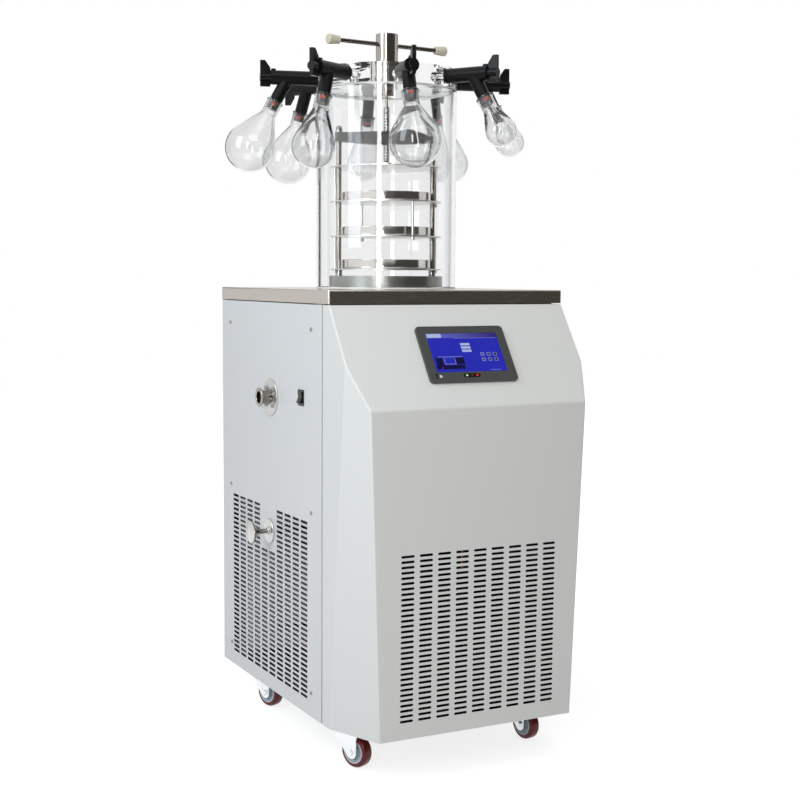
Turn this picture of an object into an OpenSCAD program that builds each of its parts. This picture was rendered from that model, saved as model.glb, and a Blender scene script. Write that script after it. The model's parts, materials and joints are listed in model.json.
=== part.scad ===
// Floor-standing laboratory freeze dryer: a wheeled refrigeration cabinet with a cold trap,
// and above it a clear chamber with pressed shelves, and a lid with valved flask ports round its rim.
// Everything is drawn round the chamber axis, and place() then moves it to the part's own origin,
// which is under the middle of its bounding box, on the floor. The front faces -Y.

/* [Cabinet] */
// Width of the cabinet
cab_w = 530; // [510:1:600]
// Distance from the chamber axis to the back of the cabinet
back_y = 300; // [290:1:340]
// Distance from the chamber axis to the seam between side panel and front cover
seam_y = 252; // [245:1:262]
// Width of the seam
seam_gap = 1; // [0.6:0.1:2]
// Distance from the chamber axis to the top edge of the sloping front
slope_top_y = 282; // [276:1:300]
// Distance from the chamber axis to the fold below the sloping front
nose_y = 415; // [400:1:440]
// Height of that fold above the floor
nose_z = 730; // [700:1:760]
// Distance from the chamber axis to the bottom edge of the front
chin_y = 410; // [400:1:430]
// Height at which the corner facets start
facet_z = 811; // [790:1:830]
// How far the facets have come in at the fold
facet_nose = 25.5; // [15:0.5:35]
// How far the facets have come in at the bottom
facet_chin = 49; // [40:0.5:60]
// Height of the cabinet's lower edge above the floor
skirt_z = 96; // [94:1:110]
// Thickness of the sheet metal
sheet = 1.5; // [1:0.1:2]
// Side of the square tube of the inner frame
frame_tube = 25; // [20:1:30]

/* [Worktop] */
// Height of the worktop's surface above the floor
worktop_z = 952; // [930:1:980]
// Depth of the worktop's folded rim
worktop_rim = 27; // [20:1:35]
// How far the worktop's rim stands proud of each side
worktop_lap = 1; // [0:0.5:5]
// Distance from the chamber axis to the worktop's front edge
worktop_front = 284; // [283:1:300]
// Thickness of the worktop's sheet
worktop_t = 2; // [1.5:0.1:3]

/* [Grilles] */
// Length of a slot in the front
front_slot = 28.4; // [20:0.1:32]
// Spacing of the front's columns
front_col = 39.6; // [36:0.1:42]
// Number of columns in the front
front_cols = 9; // [5:1:9]
// Number of rows in the front
front_rows = 32; // [20:1:34]
// Spacing of the front's rows
front_row = 10.3; // [9:0.1:11]
// Height of the front's top row
front_grille_z = 451; // [440:1:470]
// Length of a slot in the side
side_slot = 33; // [25:0.1:36]
// Spacing of the side's columns
side_col = 42.4; // [40:0.1:44]
// Number of columns in the side
side_cols = 10; // [6:1:10]
// Number of rows in the side
side_rows = 35; // [20:1:36]
// Spacing of the side's rows
side_row = 10.45; // [9.5:0.05:10.6]
// Height of the side's top row
side_grille_z = 486; // [475:1:495]
// Height of every slot
slot_h = 5; // [3:0.1:6]
// Rows left blank beside the drain valve
blank_rows = 9; // [6:1:12]

/* [Touch screen] */
// Width of the bezel
hmi_w = 196; // [180:1:210]
// Height of the bezel
hmi_h = 126; // [116:1:140]
// How far the bezel stands proud
hmi_proud = 6; // [3:0.5:10]
// Distance down the slope from its top edge to the bezel's centre
hmi_down = 119.5; // [105:0.5:125]
// Width of the glass
glass_w = 159; // [140:1:170]
// Height of the glass
glass_h = 88; // [80:1:95]
// How far the glass lies above the bezel's centre
glass_up = 3; // [0:0.5:10]

/* [Chamber] */
// Outer diameter of the clear tube
tube_d = 300; // [290:1:320]
// Wall of the clear tube
tube_wall = 8; // [5:0.5:10]
// Height of the lid's underside above the worktop
lid_z = 422; // [400:1:460]
// Thickness of the lid
lid_t = 40; // [35:1:50]
// Thickness of the rubber seals
seal_t = 3; // [2:0.5:4]
// Outer diameter of the trap collar on the worktop
collar_d = 245; // [240:1:256]
// Height of the trap collar
collar_h = 27; // [25:1:32]
// Wall of the trap collar
collar_wall = 3; // [2:0.5:4]

/* [Shelves] */
// Diameter of the shelves and of the press plate
shelf_d = 240; // [238:1:250]
// Thickness of the shelves
shelf_t = 2; // [1.5:0.1:3]
// Height of the lowest shelf's top above the worktop
shelf_z = 42; // [42:1:48]
// Spacing of the lowest gap
low_gap = 69.5; // [66:0.5:75]
// Spacing of the upper gaps
shelf_gap = 73.5; // [70:0.5:76]
// Diameter of a tray
tray_d = 192; // [180:1:193]
// Height of a tray
tray_h = 20; // [15:1:25]
// Wall of a tray
tray_wall = 1.2; // [0.8:0.1:2]
// Diameter of the two posts
post_d = 11; // [9:0.5:12]
// Distance of the posts from the chamber axis
post_r = 103; // [102:0.5:104]
// Direction of the right-hand post
post_az = -15; // [-25:1:-12]
// Diameter of the hanging rods
rod_d = 5; // [4:0.5:6]
// Distance of the rods from the chamber axis
rod_r = 114; // [113:0.5:114.5]
// Diameter of the nut below each rod
nut_d = 9; // [8:0.5:9]
// How far each gap closes when the plate is pressed down
gap_travel = 12; // [6:1:14]

/* [Press] */
// Height of the crossbar's middle above the worktop
bar_z = 321; // [312:1:330]
// Height of the crossbar at its middle
bar_h = 28; // [24:1:32]
// Height of the crossbar at its ends
bar_end_h = 20; // [16:1:22]
// Width of the crossbar
bar_w = 24; // [22:1:30]
// Diameter of the press screw
screw_d = 14; // [12:0.5:16]
// Height of the screw's top above the worktop
screw_top = 387; // [378:1:392]
// Diameter of the sliding drive stem
stem_d = 5.5; // [5:0.5:7]
// Diameter of the press foot
foot_d = 38; // [34:1:44]
// Diameter of the handle hub
hub_d = 48; // [44:1:54]
// Height of the handle hub above the lid
hub_h = 78; // [65:1:90]
// Diameter of the hub's shaft through the lid
shaft_d = 25; // [20:1:28]
// Diameter of the T-bar
tbar_d = 9; // [8:0.5:12]
// Distance from the bar's middle to the outer end of the caps
tbar_reach = 149.5; // [120:0.5:170]
// How far the bar has been slid through its hub
tbar_slide = 2.5; // [-10:0.5:10]
// Height of the T-bar above the lid
tbar_z = 56; // [45:1:62]
// Direction of the T-bar
tbar_az = 6; // [-20:1:20]
// Length of an end cap
cap_len = 28; // [20:1:35]
// Outer diameter of an end cap
cap_d = 21; // [18:0.5:26]

/* [Valves] */
// Direction of the first port
port_az = -105.4; // [-115:0.1:-95]
// Diameter of a valve's barrel
barrel_d = 30; // [27:0.5:34]
// Distance from the chamber axis to the barrel's outer end
barrel_r = 250; // [245:1:260]
// Distance from the barrel's outer end back to the spout
spout_back = 38; // [35:1:45]
// Diameter of the spout
spout_d = 27; // [26:0.5:28]
// Length of the spout to the flask's rim
spout_len = 56; // [50:1:65]
// Diameter of the spout's plug
plug_d = 24; // [20:0.5:25]
// Length of the spout's plug
plug_len = 20; // [14:1:34]
// Bore along the valve's barrel
valve_bore = 12; // [10:0.5:14]
// Bore down the spout
spout_bore = 9; // [6:0.5:9.5]
// Diameter of the lid's port holes
port_d = 20; // [18:0.5:22]
// Thickness of a knob
knob_t = 21; // [18:0.5:24]
// Diameter of a knob's hub
knob_hub_d = 18; // [16:0.5:19]
// Width of a knob's lever
lever_w = 8; // [6:0.5:10]
// How far a knob's lever reaches from its axis
lever_r = 35; // [28:1:36]
// How far a knob's tail reaches from its axis
tail_r = 19.5; // [16:0.5:22]
// Thickness of the lever at its tip
tip_t = 10; // [8:0.5:13]

/* [Flasks] */
// Bulb diameter of a small flask
flask_s = 65; // [60:1:75]
// Bulb diameter of a medium flask
flask_m = 88; // [80:1:95]
// Bulb diameter of a large flask
flask_l = 105; // [96:1:110]
// Distance from rim to bulb centre of a small flask
flask_s_len = 82; // [75:1:90]
// Distance from rim to bulb centre of a medium flask
flask_m_len = 110; // [100:1:120]
// Distance from rim to bulb centre of a large flask
flask_l_len = 112; // [105:1:125]
// Wall of a flask
flask_wall = 2; // [1.5:0.1:3]
// Length of the ground neck
neck_len = 33; // [31:1:40]
// Outer diameter of the rim's bead
rim_d = 37; // [34:0.5:40]

/* [Side fittings] */
// Height of the vacuum port's axis
vac_z = 725; // [715:1:735]
// Distance of the vacuum port behind the chamber axis
vac_y = 8; // [0:1:15]
// Inner diameter of the vacuum port
vac_bore = 26; // [20:0.5:26]
// Outer diameter of the vacuum port's tube
vac_d = 29; // [28:0.5:32]
// Diameter of the vacuum port's end flange
vac_end_d = 40; // [38:1:45]
// How far the vacuum port reaches from the panel
vac_reach = 28; // [22:1:45]
// Diameter of the vacuum port's wall flange
vac_wall_d = 78; // [70:1:84]
// Bolt circle of the wall flange
vac_pcd = 51; // [48:1:58]
// Height of the drain valve's axis
drain_z = 439; // [430:1:445]
// Distance of the drain valve behind the chamber axis
drain_y = 15; // [10:1:20]
// Diameter of the drain valve's wall disc
drain_disc_d = 52; // [46:1:56]
// Diameter of the drain valve's knob
drain_knob_d = 48; // [40:1:52]
// How far the drain valve's knob reaches from the panel
drain_reach = 45; // [38:1:52]
// Height of the rocker switch's middle
switch_z = 736; // [725:1:745]
// Distance of the rocker switch in front of the chamber axis
switch_y = 153; // [140:1:165]
// Height of the switch's frame
switch_h = 32; // [30:1:38]
// Width of the switch's frame
switch_w = 26; // [20:1:30]

/* [Casters] */
// Diameter of a wheel
wheel_d = 65.5; // [58:0.5:68]
// Width of a wheel
wheel_w = 25; // [20:1:27]
// Thickness of a wheel's tread
tread_t = 9; // [7:0.5:12]
// Distance of the swivel axes from the middle
caster_x = 203; // [170:1:210]
// Distance of the front swivel axes from the chamber axis
caster_front_y = 226; // [215:1:250]
// Distance of the rear swivel axes from the chamber axis
caster_rear_y = 226; // [200:1:230]
// Trail of a wheel behind its swivel axis
trail = 34.5; // [25:0.5:38]
// Diameter of a wheel's axle
axle_d = 8; // [6:0.5:10]

/* [Refrigeration] */
// Inner diameter of the cold trap
trap_d = 190; // [170:1:192]
// Depth of the cold trap below the worktop
trap_depth = 300; // [280:1:320]
// Outer diameter of the trap's insulation
foam_d = 290; // [260:1:310]
// Diameter of the compressor's shell
comp_d = 150; // [130:1:160]
// Height of the compressor
comp_h = 205; // [180:1:230]
// Diameter of the condenser's fan
fan_d = 210; // [180:1:220]
// Width and height of the condenser
cond_w = 300; // [260:1:320]

/* [Fits] */
// Radial clearance of shafts and pins that turn
run_fit = 0.1; // [0.05:0.01:0.1]
// Gap between pieces that pass each other freely
gap = 0.5; // [0.3:0.1:0.8]
// Gap at which loose pieces sit in their seats
seat_gap = 0.3; // [0.2:0.05:0.5]

/* [Hidden] */
$fn = 64;
eps = 0.01;
far = 1000;

// --- values that follow from the driving dimensions ---
half_w = cab_w / 2;
panel_top = worktop_z - worktop_rim;
slope_angle = atan2(nose_y - slope_top_y, panel_top - nose_z);
facet_y = slope_top_y + (panel_top - facet_z) * tan(slope_angle);
facet_a = [half_w, -facet_y, facet_z];
facet_u = [half_w - facet_nose, -nose_y, nose_z] - facet_a;
facet_v = [half_w - facet_chin, -chin_y, skirt_z] - facet_a;
facet_n = cross(facet_u, facet_v) / norm(cross(facet_u, facet_v));
facet_foot_y = -facet_y + facet_n[2] * (facet_z - skirt_z) / facet_n[1];
port_z = worktop_z + lid_z + lid_t / 2;
tilts = [26, 30, 27, 18, 24, 19, 29, 18];
sizes = [2, 0, 0, 1, 1, 2, 2, 1];
bulb_d = [flask_s, flask_m, flask_l];
bulb_len = [flask_s_len, flask_m_len, flask_l_len];
knob_turn = [0, 0, 0, 0, 0, 180, 0, 0];
spout_r = barrel_r - spout_back;
function az(k) = port_az + 45 * k;
function bulb_r(k) = bulb_d[sizes[k]] / 2;
function bulb_out(k) = spout_r + (spout_len + bulb_len[sizes[k]]) * sin(tilts[k]);
inlet_proud = 3;
x_low = min(concat([-half_w - worktop_lap - vac_reach],
    [for (k = [0:7]) bulb_out(k) * cos(az(k)) - bulb_r(k)]));
x_high = max(concat([half_w + worktop_lap], [for (k = [0:7]) bulb_out(k) * cos(az(k)) + bulb_r(k)]));
y_high = max(concat([back_y + inlet_proud], [for (k = [0:7]) bulb_out(k) * sin(az(k)) + bulb_r(k)]));
y_low = -max(nose_y, chin_y);
shelf_tops = [shelf_z, shelf_z + low_gap, shelf_z + low_gap + shelf_gap,
    shelf_z + low_gap + 2 * shelf_gap];
press_z = shelf_tops[3];
rod_az_1 = -8;
rod_az_2 = -88;
foot_h = 11;
post_proud = 3;
journal_d = screw_d - 4;
journal_l = 8;
trap_wall = 2;
foam_top = worktop_z - worktop_t - 4;
foam_floor = 40;
trap_bottom = worktop_z - trap_depth;
line_d = 10;
elbow_d = line_d + 4;
drain_stub = 16;
stub_z = trap_bottom - foam_floor - 6;
coil_r = trap_d / 2 + trap_wall + line_d / 2 - 0.2;
coil_space = 2 * coil_r + line_d + 2 * gap;
coil_pitch = 22;
coil_turns = 7;
coil_top = foam_top - 20;
coil_low = coil_top - (coil_turns - 1) * coil_pitch;
line_r = coil_r + 21;
base_t = 3;
floor_z = skirt_z + base_t;
plate_t = 3;
fork_top = skirt_z - plate_t - 10;
fork_t = 3;
fork_in = wheel_w / 2 + 2;
fork_head_d = 46;
leg_r = 13;
fan_y = -300;
fan_z = floor_z + cond_w / 2;
motor_shaft = 8;
wall_flange_t = 3;
pivot_d = 3;
rocker_tilt = 8;
motor_d = 70;
motor_l = 60;
knob_stem_d = 20;
neck_d = plug_d + 2 * seat_gap + 2 * flask_wall + 4;
headings = [22, 8, 19, 15];
swivels = [[-caster_x, -caster_front_y], [caster_x, -caster_front_y],
    [-caster_x, caster_rear_y], [caster_x, caster_rear_y]];

// --- shared helpers ---
module place() {
    translate([-(x_low + x_high) / 2, -(y_low + y_high) / 2, 0])
        children();
}

module box(low, high) {
    translate(low)
        cube(high - low);
}

module ring(outer, inner, h) {
    difference() {
        cylinder(h = h, d = outer);
        translate([0, 0, -eps])
            cylinder(h = h + 2 * eps, d = inner);
    }
}

// A cylinder along X, Y or any direction turned from Z
module rod_x(d, l) {
    rotate([0, 90, 0])
        cylinder(h = l, d = d);
}

// The outline of one slot, with its corners cut
function slot_outline(l, h) =
    [for (s = [1, -1], p = [[-0.3, -0.5], [0, -0.2], [0, 0.2], [-0.3, 0.5]])
        s * [l / 2 + h * p[0], h * p[1]]];

module slot_grid(cols, rows, col, row, l, h, skip_cols = [], skip_rows = 0) {
    for (c = [0:cols - 1], r = [0:rows - 1])
        if (len(search(c, skip_cols)) == 0 || r >= skip_rows)
            translate([(c - (cols - 1) / 2) * col, -r * row])
                polygon(slot_outline(l, h));
}

// Puts a child on the sloping front: x across, y up the slope, z out of it
module on_slope(down) {
    translate([0, -slope_top_y, panel_top])
        rotate([90 - slope_angle, 0, 0])
            translate([0, -down, 0])
                children();
}

// Puts a child on the left side panel: x to the front, y up, z out of the panel
module on_left(y, z) {
    translate([-half_w, y, z])
        rotate([90, 0, -90])
            children();
}

// Puts a child on a port: z outwards along the port's axis, y up
module on_port(k) {
    translate([0, 0, port_z])
        rotate([0, 0, az(k)])
            rotate([90, 0, 90])
                children();
}

// Puts a child on a port's spout: z along the spout from the port's axis
module on_spout(k) {
    on_port(k)
        translate([0, 0, spout_r])
            rotate([90 - tilts[k], 0, 0])
                children();
}

// The two places of a pair of posts or rods
module pair(r, a) {
    for (s = [0, 180])
        rotate([0, 0, a + s])
            translate([r, 0, 0])
                children();
}

// --- cabinet ---
// The cover's form, drawn in by a wall and reaching past its open edges
module cover_form(inset, past) {
    rise = inset / cos(slope_angle);
    difference() {
        translate([-half_w + inset, 0, 0])
            rotate([90, 0, 90])
                linear_extrude(cab_w - 2 * inset)
                    polygon([[-seam_y - seam_gap + past, skirt_z - past], [-chin_y + inset, skirt_z - past],
                        [-nose_y + inset, nose_z - inset * tan(slope_angle / 2)],
                        [-slope_top_y + rise + past * tan(slope_angle), panel_top + past],
                        [-seam_y - seam_gap + past, panel_top + past]]);
        facet_cut(inset);
        mirror([1, 0, 0])
            facet_cut(inset);
    }
}

// The space beyond the plane of one corner facet
module facet_cut(inset) {
    translate(facet_a - facet_n * inset)
        rotate([0, acos(facet_n[2]), atan2(facet_n[1], facet_n[0])])
            translate([-far, -far, 0])
                cube([2 * far, 2 * far, far]);
}

module front_cover() {
    color("gainsboro") place() difference() {
        cover_form(0, 0);
        cover_form(sheet, 1);
        translate([0, 0, front_grille_z])
            rotate([90, 0, 0])
                linear_extrude(far)
                    slot_grid(front_cols, front_rows, front_col, front_row, front_slot, slot_h);
        on_slope(hmi_down)
            box([-hmi_w / 2 + 8, -hmi_h / 2 + 8, -20], [hmi_w / 2 - 8, hmi_h / 2 - 8, 20]);
    }
}

// A side's sheet, with a front flange that stands on the floor plate
module side_sheet() {
    box([-half_w, -seam_y, skirt_z], [-half_w + sheet, back_y, panel_top]);
    box([-half_w, -seam_y, skirt_z + base_t], [-half_w + 14, -seam_y + sheet, panel_top]);
}

module left_panel() {
    color("lightsteelblue") place() difference() {
        side_sheet();
        on_left(25, side_grille_z)
            translate([0, 0, -10])
                linear_extrude(20)
                    mirror([1, 0, 0])
                        slot_grid(side_cols, side_rows, side_col, side_row, side_slot, slot_h, [4, 5],
                            blank_rows);
        on_left(vac_y, vac_z)
            translate([0, 0, -5])
                cylinder(h = 10, d = vac_d + 2 * gap);
        on_left(drain_y, drain_z)
            translate([0, 0, -5])
                cylinder(h = 10, d = 20 + 2 * gap);
        on_left(-switch_y, switch_z)
            translate([0, 0, -5])
                linear_extrude(10)
                    square([switch_w - 3, switch_h - 3], center = true);
    }
}

module right_panel() {
    color("lightsteelblue") place() {
        mirror([1, 0, 0])
            side_sheet();
    }
}

inlet_x = 150;
inlet_z = 190;
inlet_w = 48;
inlet_h = 28;

module rear_panel() {
    color("lightsteelblue") place() difference() {
        box([-half_w + sheet, back_y - sheet, skirt_z], [half_w - sheet, back_y, panel_top]);
        translate([0, back_y + 5, 640])
            rotate([90, 0, 0])
                linear_extrude(10)
                    slot_grid(8, 12, 46, 14, 34, 5);
        box([inlet_x - inlet_w / 2, back_y - 5, inlet_z - inlet_h / 2],
            [inlet_x + inlet_w / 2, back_y + 5, inlet_z + inlet_h / 2]);
    }
}

module base_frame() {
    edge = half_w - sheet - gap;
    lap = 2 * sheet + gap;
    post_x = half_w - sheet - frame_tube;
    rear_in = back_y - max(sheet, worktop_t) - frame_tube;
    front_in = seam_y - sheet - gap;
    color("dimgray") place() {
        // floor plate, with its front corners cut off inside the cover's facets
        translate([0, 0, skirt_z])
            linear_extrude(base_t)
                polygon([[-edge, back_y - sheet], [edge, back_y - sheet], [edge, facet_foot_y + lap],
                    [half_w - facet_chin - lap, -chin_y + sheet + gap],
                    [-half_w + facet_chin + lap, -chin_y + sheet + gap], [-edge, facet_foot_y + lap]]);
        // four corner posts that carry the worktop
        for (s = [-1, 1], y = [-front_in, rear_in])
            translate([s > 0 ? post_x : -post_x - frame_tube, y, skirt_z])
                cube([frame_tube, frame_tube, worktop_z - worktop_t - skirt_z]);
        // rails under the cold trap and round the top
        for (z = [trap_bottom - foam_floor - frame_tube, panel_top - frame_tube], y = [-front_in, rear_in])
            box([-post_x, y, z], [post_x, y + frame_tube, z + frame_tube]);
        for (s = [-1, 1])
            translate([s * 90 - frame_tube / 2, -front_in, trap_bottom - foam_floor - frame_tube])
                cube([frame_tube, rear_in + front_in + frame_tube, frame_tube]);
    }
}

module worktop() {
    color("silver") place() difference() {
        box([-half_w - worktop_lap, -worktop_front, panel_top], [half_w + worktop_lap, back_y, worktop_z]);
        box([-half_w - worktop_lap + worktop_t, -worktop_front + worktop_t, panel_top - 1],
            [half_w + worktop_lap - worktop_t, back_y - worktop_t, worktop_z - worktop_t]);
        translate([0, 0, panel_top])
            cylinder(h = worktop_rim + 1, d = trap_d);
    }
}

// The panel screws, the port's screws, and the posts' domed nuts and spacer sleeves
module fasteners() {
    color("silver") place() {
        for (y = [back_y - 55, -seam_y + 50], z = [874, 510, 145]) {
            on_left(y, z)
                screw_head(8, 2.4);
            mirror([1, 0, 0])
                on_left(y, z)
                    screw_head(8, 2.4);
        }
        for (a = [45:90:315])
            on_left(vac_y, vac_z)
                rotate([0, 0, a])
                    translate([vac_pcd / 2, 0, wall_flange_t])
                        screw_head(8, 4);
        pair(post_r, post_az) {
            translate([0, 0, worktop_z + collar_h])
                ring(post_d + 4, post_d + 2 * seat_gap, shelf_z - shelf_t - collar_h);
            translate([0, 0, worktop_z + bar_z + bar_end_h / 2])
                domed_nut();
        }
    }
}

// The nut that holds the crossbar down on a post
module domed_nut() {
    base = 5;
    difference() {
        union() {
            cylinder(h = base, d = post_d + 4);
            translate([0, 0, base + 3])
                sphere(d = post_d + 2);
        }
        translate([0, 0, -1])
            cylinder(h = post_proud + seat_gap + 1, d = post_d + 2 * seat_gap);
    }
}

// A cross-recessed screw head standing on a face
module screw_head(d, h) {
    difference() {
        cylinder(h = h, d = d);
        for (a = [0, 90])
            rotate([0, 0, a])
                translate([-d * 0.35, -0.5, h - 1])
                    cube([d * 0.7, 1, 2]);
    }
}

// --- chamber ---
module trap_collar() {
    color("silver") place() translate([0, 0, worktop_z]) difference() {
        cylinder(h = collar_h, d = collar_d);
        translate([0, 0, -eps])
            cylinder(h = collar_h - collar_wall, d = collar_d - 2 * collar_wall);
        cylinder(h = collar_h + 1, d = 120);
        pair(post_r, post_az)
            cylinder(h = collar_h + 1, d = post_d + 2 * seat_gap);
        pair(rod_r, rod_az_1)
            cylinder(h = collar_h + 1, d = nut_d + 1.4);
    }
}

module chamber_seals() {
    color("white") place() {
        translate([0, 0, worktop_z])
            ring(tube_d, tube_d - 2 * tube_wall, seal_t);
        translate([0, 0, worktop_z + lid_z - seal_t])
            ring(tube_d, tube_d - 2 * tube_wall, seal_t);
    }
}

module chamber_tube() {
    color("azure", 0.3) place() translate([0, 0, worktop_z + seal_t])
        ring(tube_d, tube_d - 2 * tube_wall, lid_z - 2 * seal_t);
}

module lid() {
    channel_r = tube_d / 2 - 50;
    color("azure", 0.3) place() difference() {
        translate([0, 0, worktop_z + lid_z])
            cylinder(h = lid_t, d = tube_d);
        translate([0, 0, worktop_z + lid_z - 1])
            cylinder(h = lid_t + 2, d = hub_d);
        for (k = [0:7]) {
            on_port(k)
                translate([0, 0, channel_r])
                    cylinder(h = tube_d, d = port_d);
            rotate([0, 0, az(k)])
                translate([channel_r + port_d / 2, 0, worktop_z + lid_z - 1])
                    cylinder(h = lid_t / 2 + 1, d = port_d - 4);
        }
    }
}

module lid_bush() {
    color("silver") place() translate([0, 0, worktop_z + lid_z])
        ring(hub_d, shaft_d + 2 * run_fit, lid_t);
}

// --- valves and flasks ---
module valve_body(k) {
    plug_in = 30;
    on_port(k) difference() {
        union() {
            translate([0, 0, tube_d / 2])
                cylinder(h = barrel_r - tube_d / 2, d = barrel_d);
            translate([0, 0, tube_d / 2 - plug_in])
                cylinder(h = plug_in + 1, d = port_d - 2 * seat_gap);
            translate([-5, 0, barrel_r - 11])
                cube([10, barrel_d / 2 + 3, 9]);
            translate([0, 0, spout_r])
                rotate([90 - tilts[k], 0, 0])
                    spout();
        }
        translate([0, 0, tube_d / 2 - plug_in - 1])
            cylinder(h = spout_r + valve_bore - tube_d / 2 + plug_in, d = valve_bore);
        translate([0, 0, spout_r + valve_bore])
            cylinder(h = barrel_r, d = knob_stem_d + 2 * run_fit);
        translate([0, 0, spout_r])
            rotate([90 - tilts[k], 0, 0])
                cylinder(h = spout_len + plug_len + 1, d = spout_bore);
    }
}

module spout() {
    cylinder(h = spout_len, d = spout_d);
    translate([0, 0, spout_len - eps])
        cylinder(h = plug_len + eps, d = plug_d);
}

module valve_bodies() {
    color("black") place()
        for (k = [0:7])
            valve_body(k);
}

module flask(bulb, length) {
    r = bulb / 2;
    nr = neck_d / 2;
    rotate_extrude() difference() {
        union() {
            intersection() {
                translate([0, length])
                    circle(r = r);
                translate([0, length - r])
                    square([r, 2 * r]);
            }
            translate([0, 0])
                square([nr, neck_len]);
            translate([0, 0])
                square([rim_d / 2, 4]);
            polygon(concat([[0, neck_len - eps], [nr, neck_len - eps]], [shoulder(r, nr, length)],
                [[0, length]]));
        }
        translate([0, -1])
            square([nr - flask_wall - 2, neck_len + 1.5]);
        intersection() {
            translate([0, length])
                circle(r = r - flask_wall);
            translate([0, length - r])
                square([r, 2 * r]);
        }
        polygon(concat([[0, neck_len], [nr - flask_wall - 2, neck_len]],
            [shoulder(r - flask_wall, nr - flask_wall - 2, length)], [[0, length]]));
    }
}

// Where the line from the neck's end touches the bulb
function shoulder(r, nr, length) =
    let (d = [nr, neck_len - length], a = atan2(d[1], d[0]) + acos(r / norm(d)))
        [r * cos(a), length + r * sin(a)];

module flasks() {
    color("azure", 0.3) place()
        for (k = [0:7])
            on_spout(k)
                translate([0, 0, spout_len])
                    flask(bulb_d[sizes[k]], bulb_len[sizes[k]]);
}

module knob(k) {
    stem_l = barrel_r - spout_r - valve_bore - 4;
    color("black") place() on_port(k) rotate([0, 0, knob_turn[k]]) {
        translate([0, 0, barrel_r - stem_l])
            cylinder(h = stem_l + seat_gap + eps, d = knob_stem_d);
        translate([0, 0, barrel_r + seat_gap])
            cylinder(h = knob_t + 0.5, d = knob_hub_d);
        // the lever: thick from its tail to the hub, then thinner towards its tip
        translate([lever_w / 2, 0, barrel_r + seat_gap])
            rotate([0, -90, 0])
                linear_extrude(lever_w)
                    polygon([[0, -tail_r], [0, tail_r], [knob_t - tip_t, lever_r], [knob_t, lever_r],
                        [knob_t, -tail_r]]);
    }
}

module knob_1() { knob(0); }
module knob_2() { knob(1); }
module knob_3() { knob(2); }
module knob_4() { knob(3); }
module knob_5() { knob(4); }
module knob_6() { knob(5); }
module knob_7() { knob(6); }
module knob_8() { knob(7); }

// --- shelves and press ---
// One round plate: its own rods hang from it, and the rods of the plate above pass through it
module rack_plate(z, own_az, drop, through_az) {
    translate([0, 0, worktop_z + z - shelf_t]) difference() {
        cylinder(h = shelf_t, d = shelf_d);
        pair(post_r, post_az)
            translate([0, 0, -1])
                cylinder(h = shelf_t + 2, d = post_d + 2 * gap);
        if (is_num(through_az))
            pair(rod_r, through_az)
                translate([0, 0, -1])
                    cylinder(h = shelf_t + 2, d = rod_d + 2 * run_fit);
    }
    if (is_num(own_az))
        pair(rod_r, own_az) {
            translate([0, 0, worktop_z + z - drop - shelf_t - 4])
                cylinder(h = drop + shelf_t + 4, d = rod_d);
            translate([0, 0, worktop_z + z - drop - shelf_t - seat_gap - 5])
                cylinder(h = 5, d = nut_d);
            translate([0, 0, worktop_z + z - drop - shelf_t - seat_gap - 5])
                intersection() {
                    sphere(d = nut_d);
                    translate([0, 0, -1.2])
                        cylinder(h = 5, d = nut_d);
                }
        }
}

module press_plate() {
    color("silver") place() {
        rack_plate(press_z, rod_az_1, shelf_gap);
        translate([0, 0, worktop_z + press_z])
            difference() {
                union() {
                    cylinder(h = 3, d = foot_d);
                    cylinder(h = foot_h, d = screw_d + 8);
                }
                translate([0, 0, foot_h - journal_l])
                    cylinder(h = journal_l + 1, d = journal_d + 2 * run_fit);
            }
    }
}

module shelf_1() {
    color("silver") place() rack_plate(shelf_tops[2], rod_az_2, shelf_gap, rod_az_1);
}

module shelf_2() {
    color("silver") place() rack_plate(shelf_tops[1], rod_az_1, low_gap, rod_az_2);
}

module shelf_3() {
    color("silver") place() rack_plate(shelf_tops[0], undef, 0, rod_az_1);
}

module tray(z) {
    translate([0, 0, worktop_z + z]) difference() {
        cylinder(h = tray_h, d = tray_d);
        translate([0, 0, tray_wall])
            cylinder(h = tray_h, d = tray_d - 2 * tray_wall);
    }
}

module tray_1() { color("lightgray") place() tray(shelf_tops[2]); }
module tray_2() { color("lightgray") place() tray(shelf_tops[1]); }
module tray_3() { color("lightgray") place() tray(shelf_tops[0]); }

module posts() {
    color("silver") place() pair(post_r, post_az)
        translate([0, 0, worktop_z])
            cylinder(h = bar_z + bar_end_h / 2 + post_proud, d = post_d);
}

module crossbar() {
    reach = post_r + post_d / 2 + 2;
    pad = post_r - post_d / 2 - 4;
    e = bar_end_h / 2;
    h = bar_h / 2;
    color("slategray") place() translate([0, 0, worktop_z + bar_z]) rotate([0, 0, post_az]) difference() {
        translate([0, bar_w / 2, 0])
            rotate([90, 0, 0])
                linear_extrude(bar_w)
                    polygon([[-reach, -e], [-pad, -e], [-20, -h], [20, -h], [pad, -e], [reach, -e],
                        [reach, e], [pad, e], [20, h], [-20, h], [-pad, e], [-reach, e]]);
        for (s = [-1, 1])
            translate([s * post_r, 0, -bar_h])
                cylinder(h = 2 * bar_h, d = post_d + 2 * seat_gap);
        translate([0, 0, -bar_h])
            cylinder(h = 2 * bar_h, d = screw_d + 2 * run_fit);
    }
}

module press_screw() {
    bottom = press_z + foot_h;
    socket = 3 * gap_travel + 9;
    color("dimgray") place() translate([0, 0, worktop_z + bottom]) difference() {
        union() {
            cylinder(h = screw_top - bottom, d = screw_d);
            translate([0, 0, -journal_l + 0.5])
                cylinder(h = journal_l, d = journal_d);
        }
        translate([0, 0, screw_top - bottom - socket])
            cylinder(h = socket + 1, d = stem_d + 2 * run_fit);
    }
}

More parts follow.
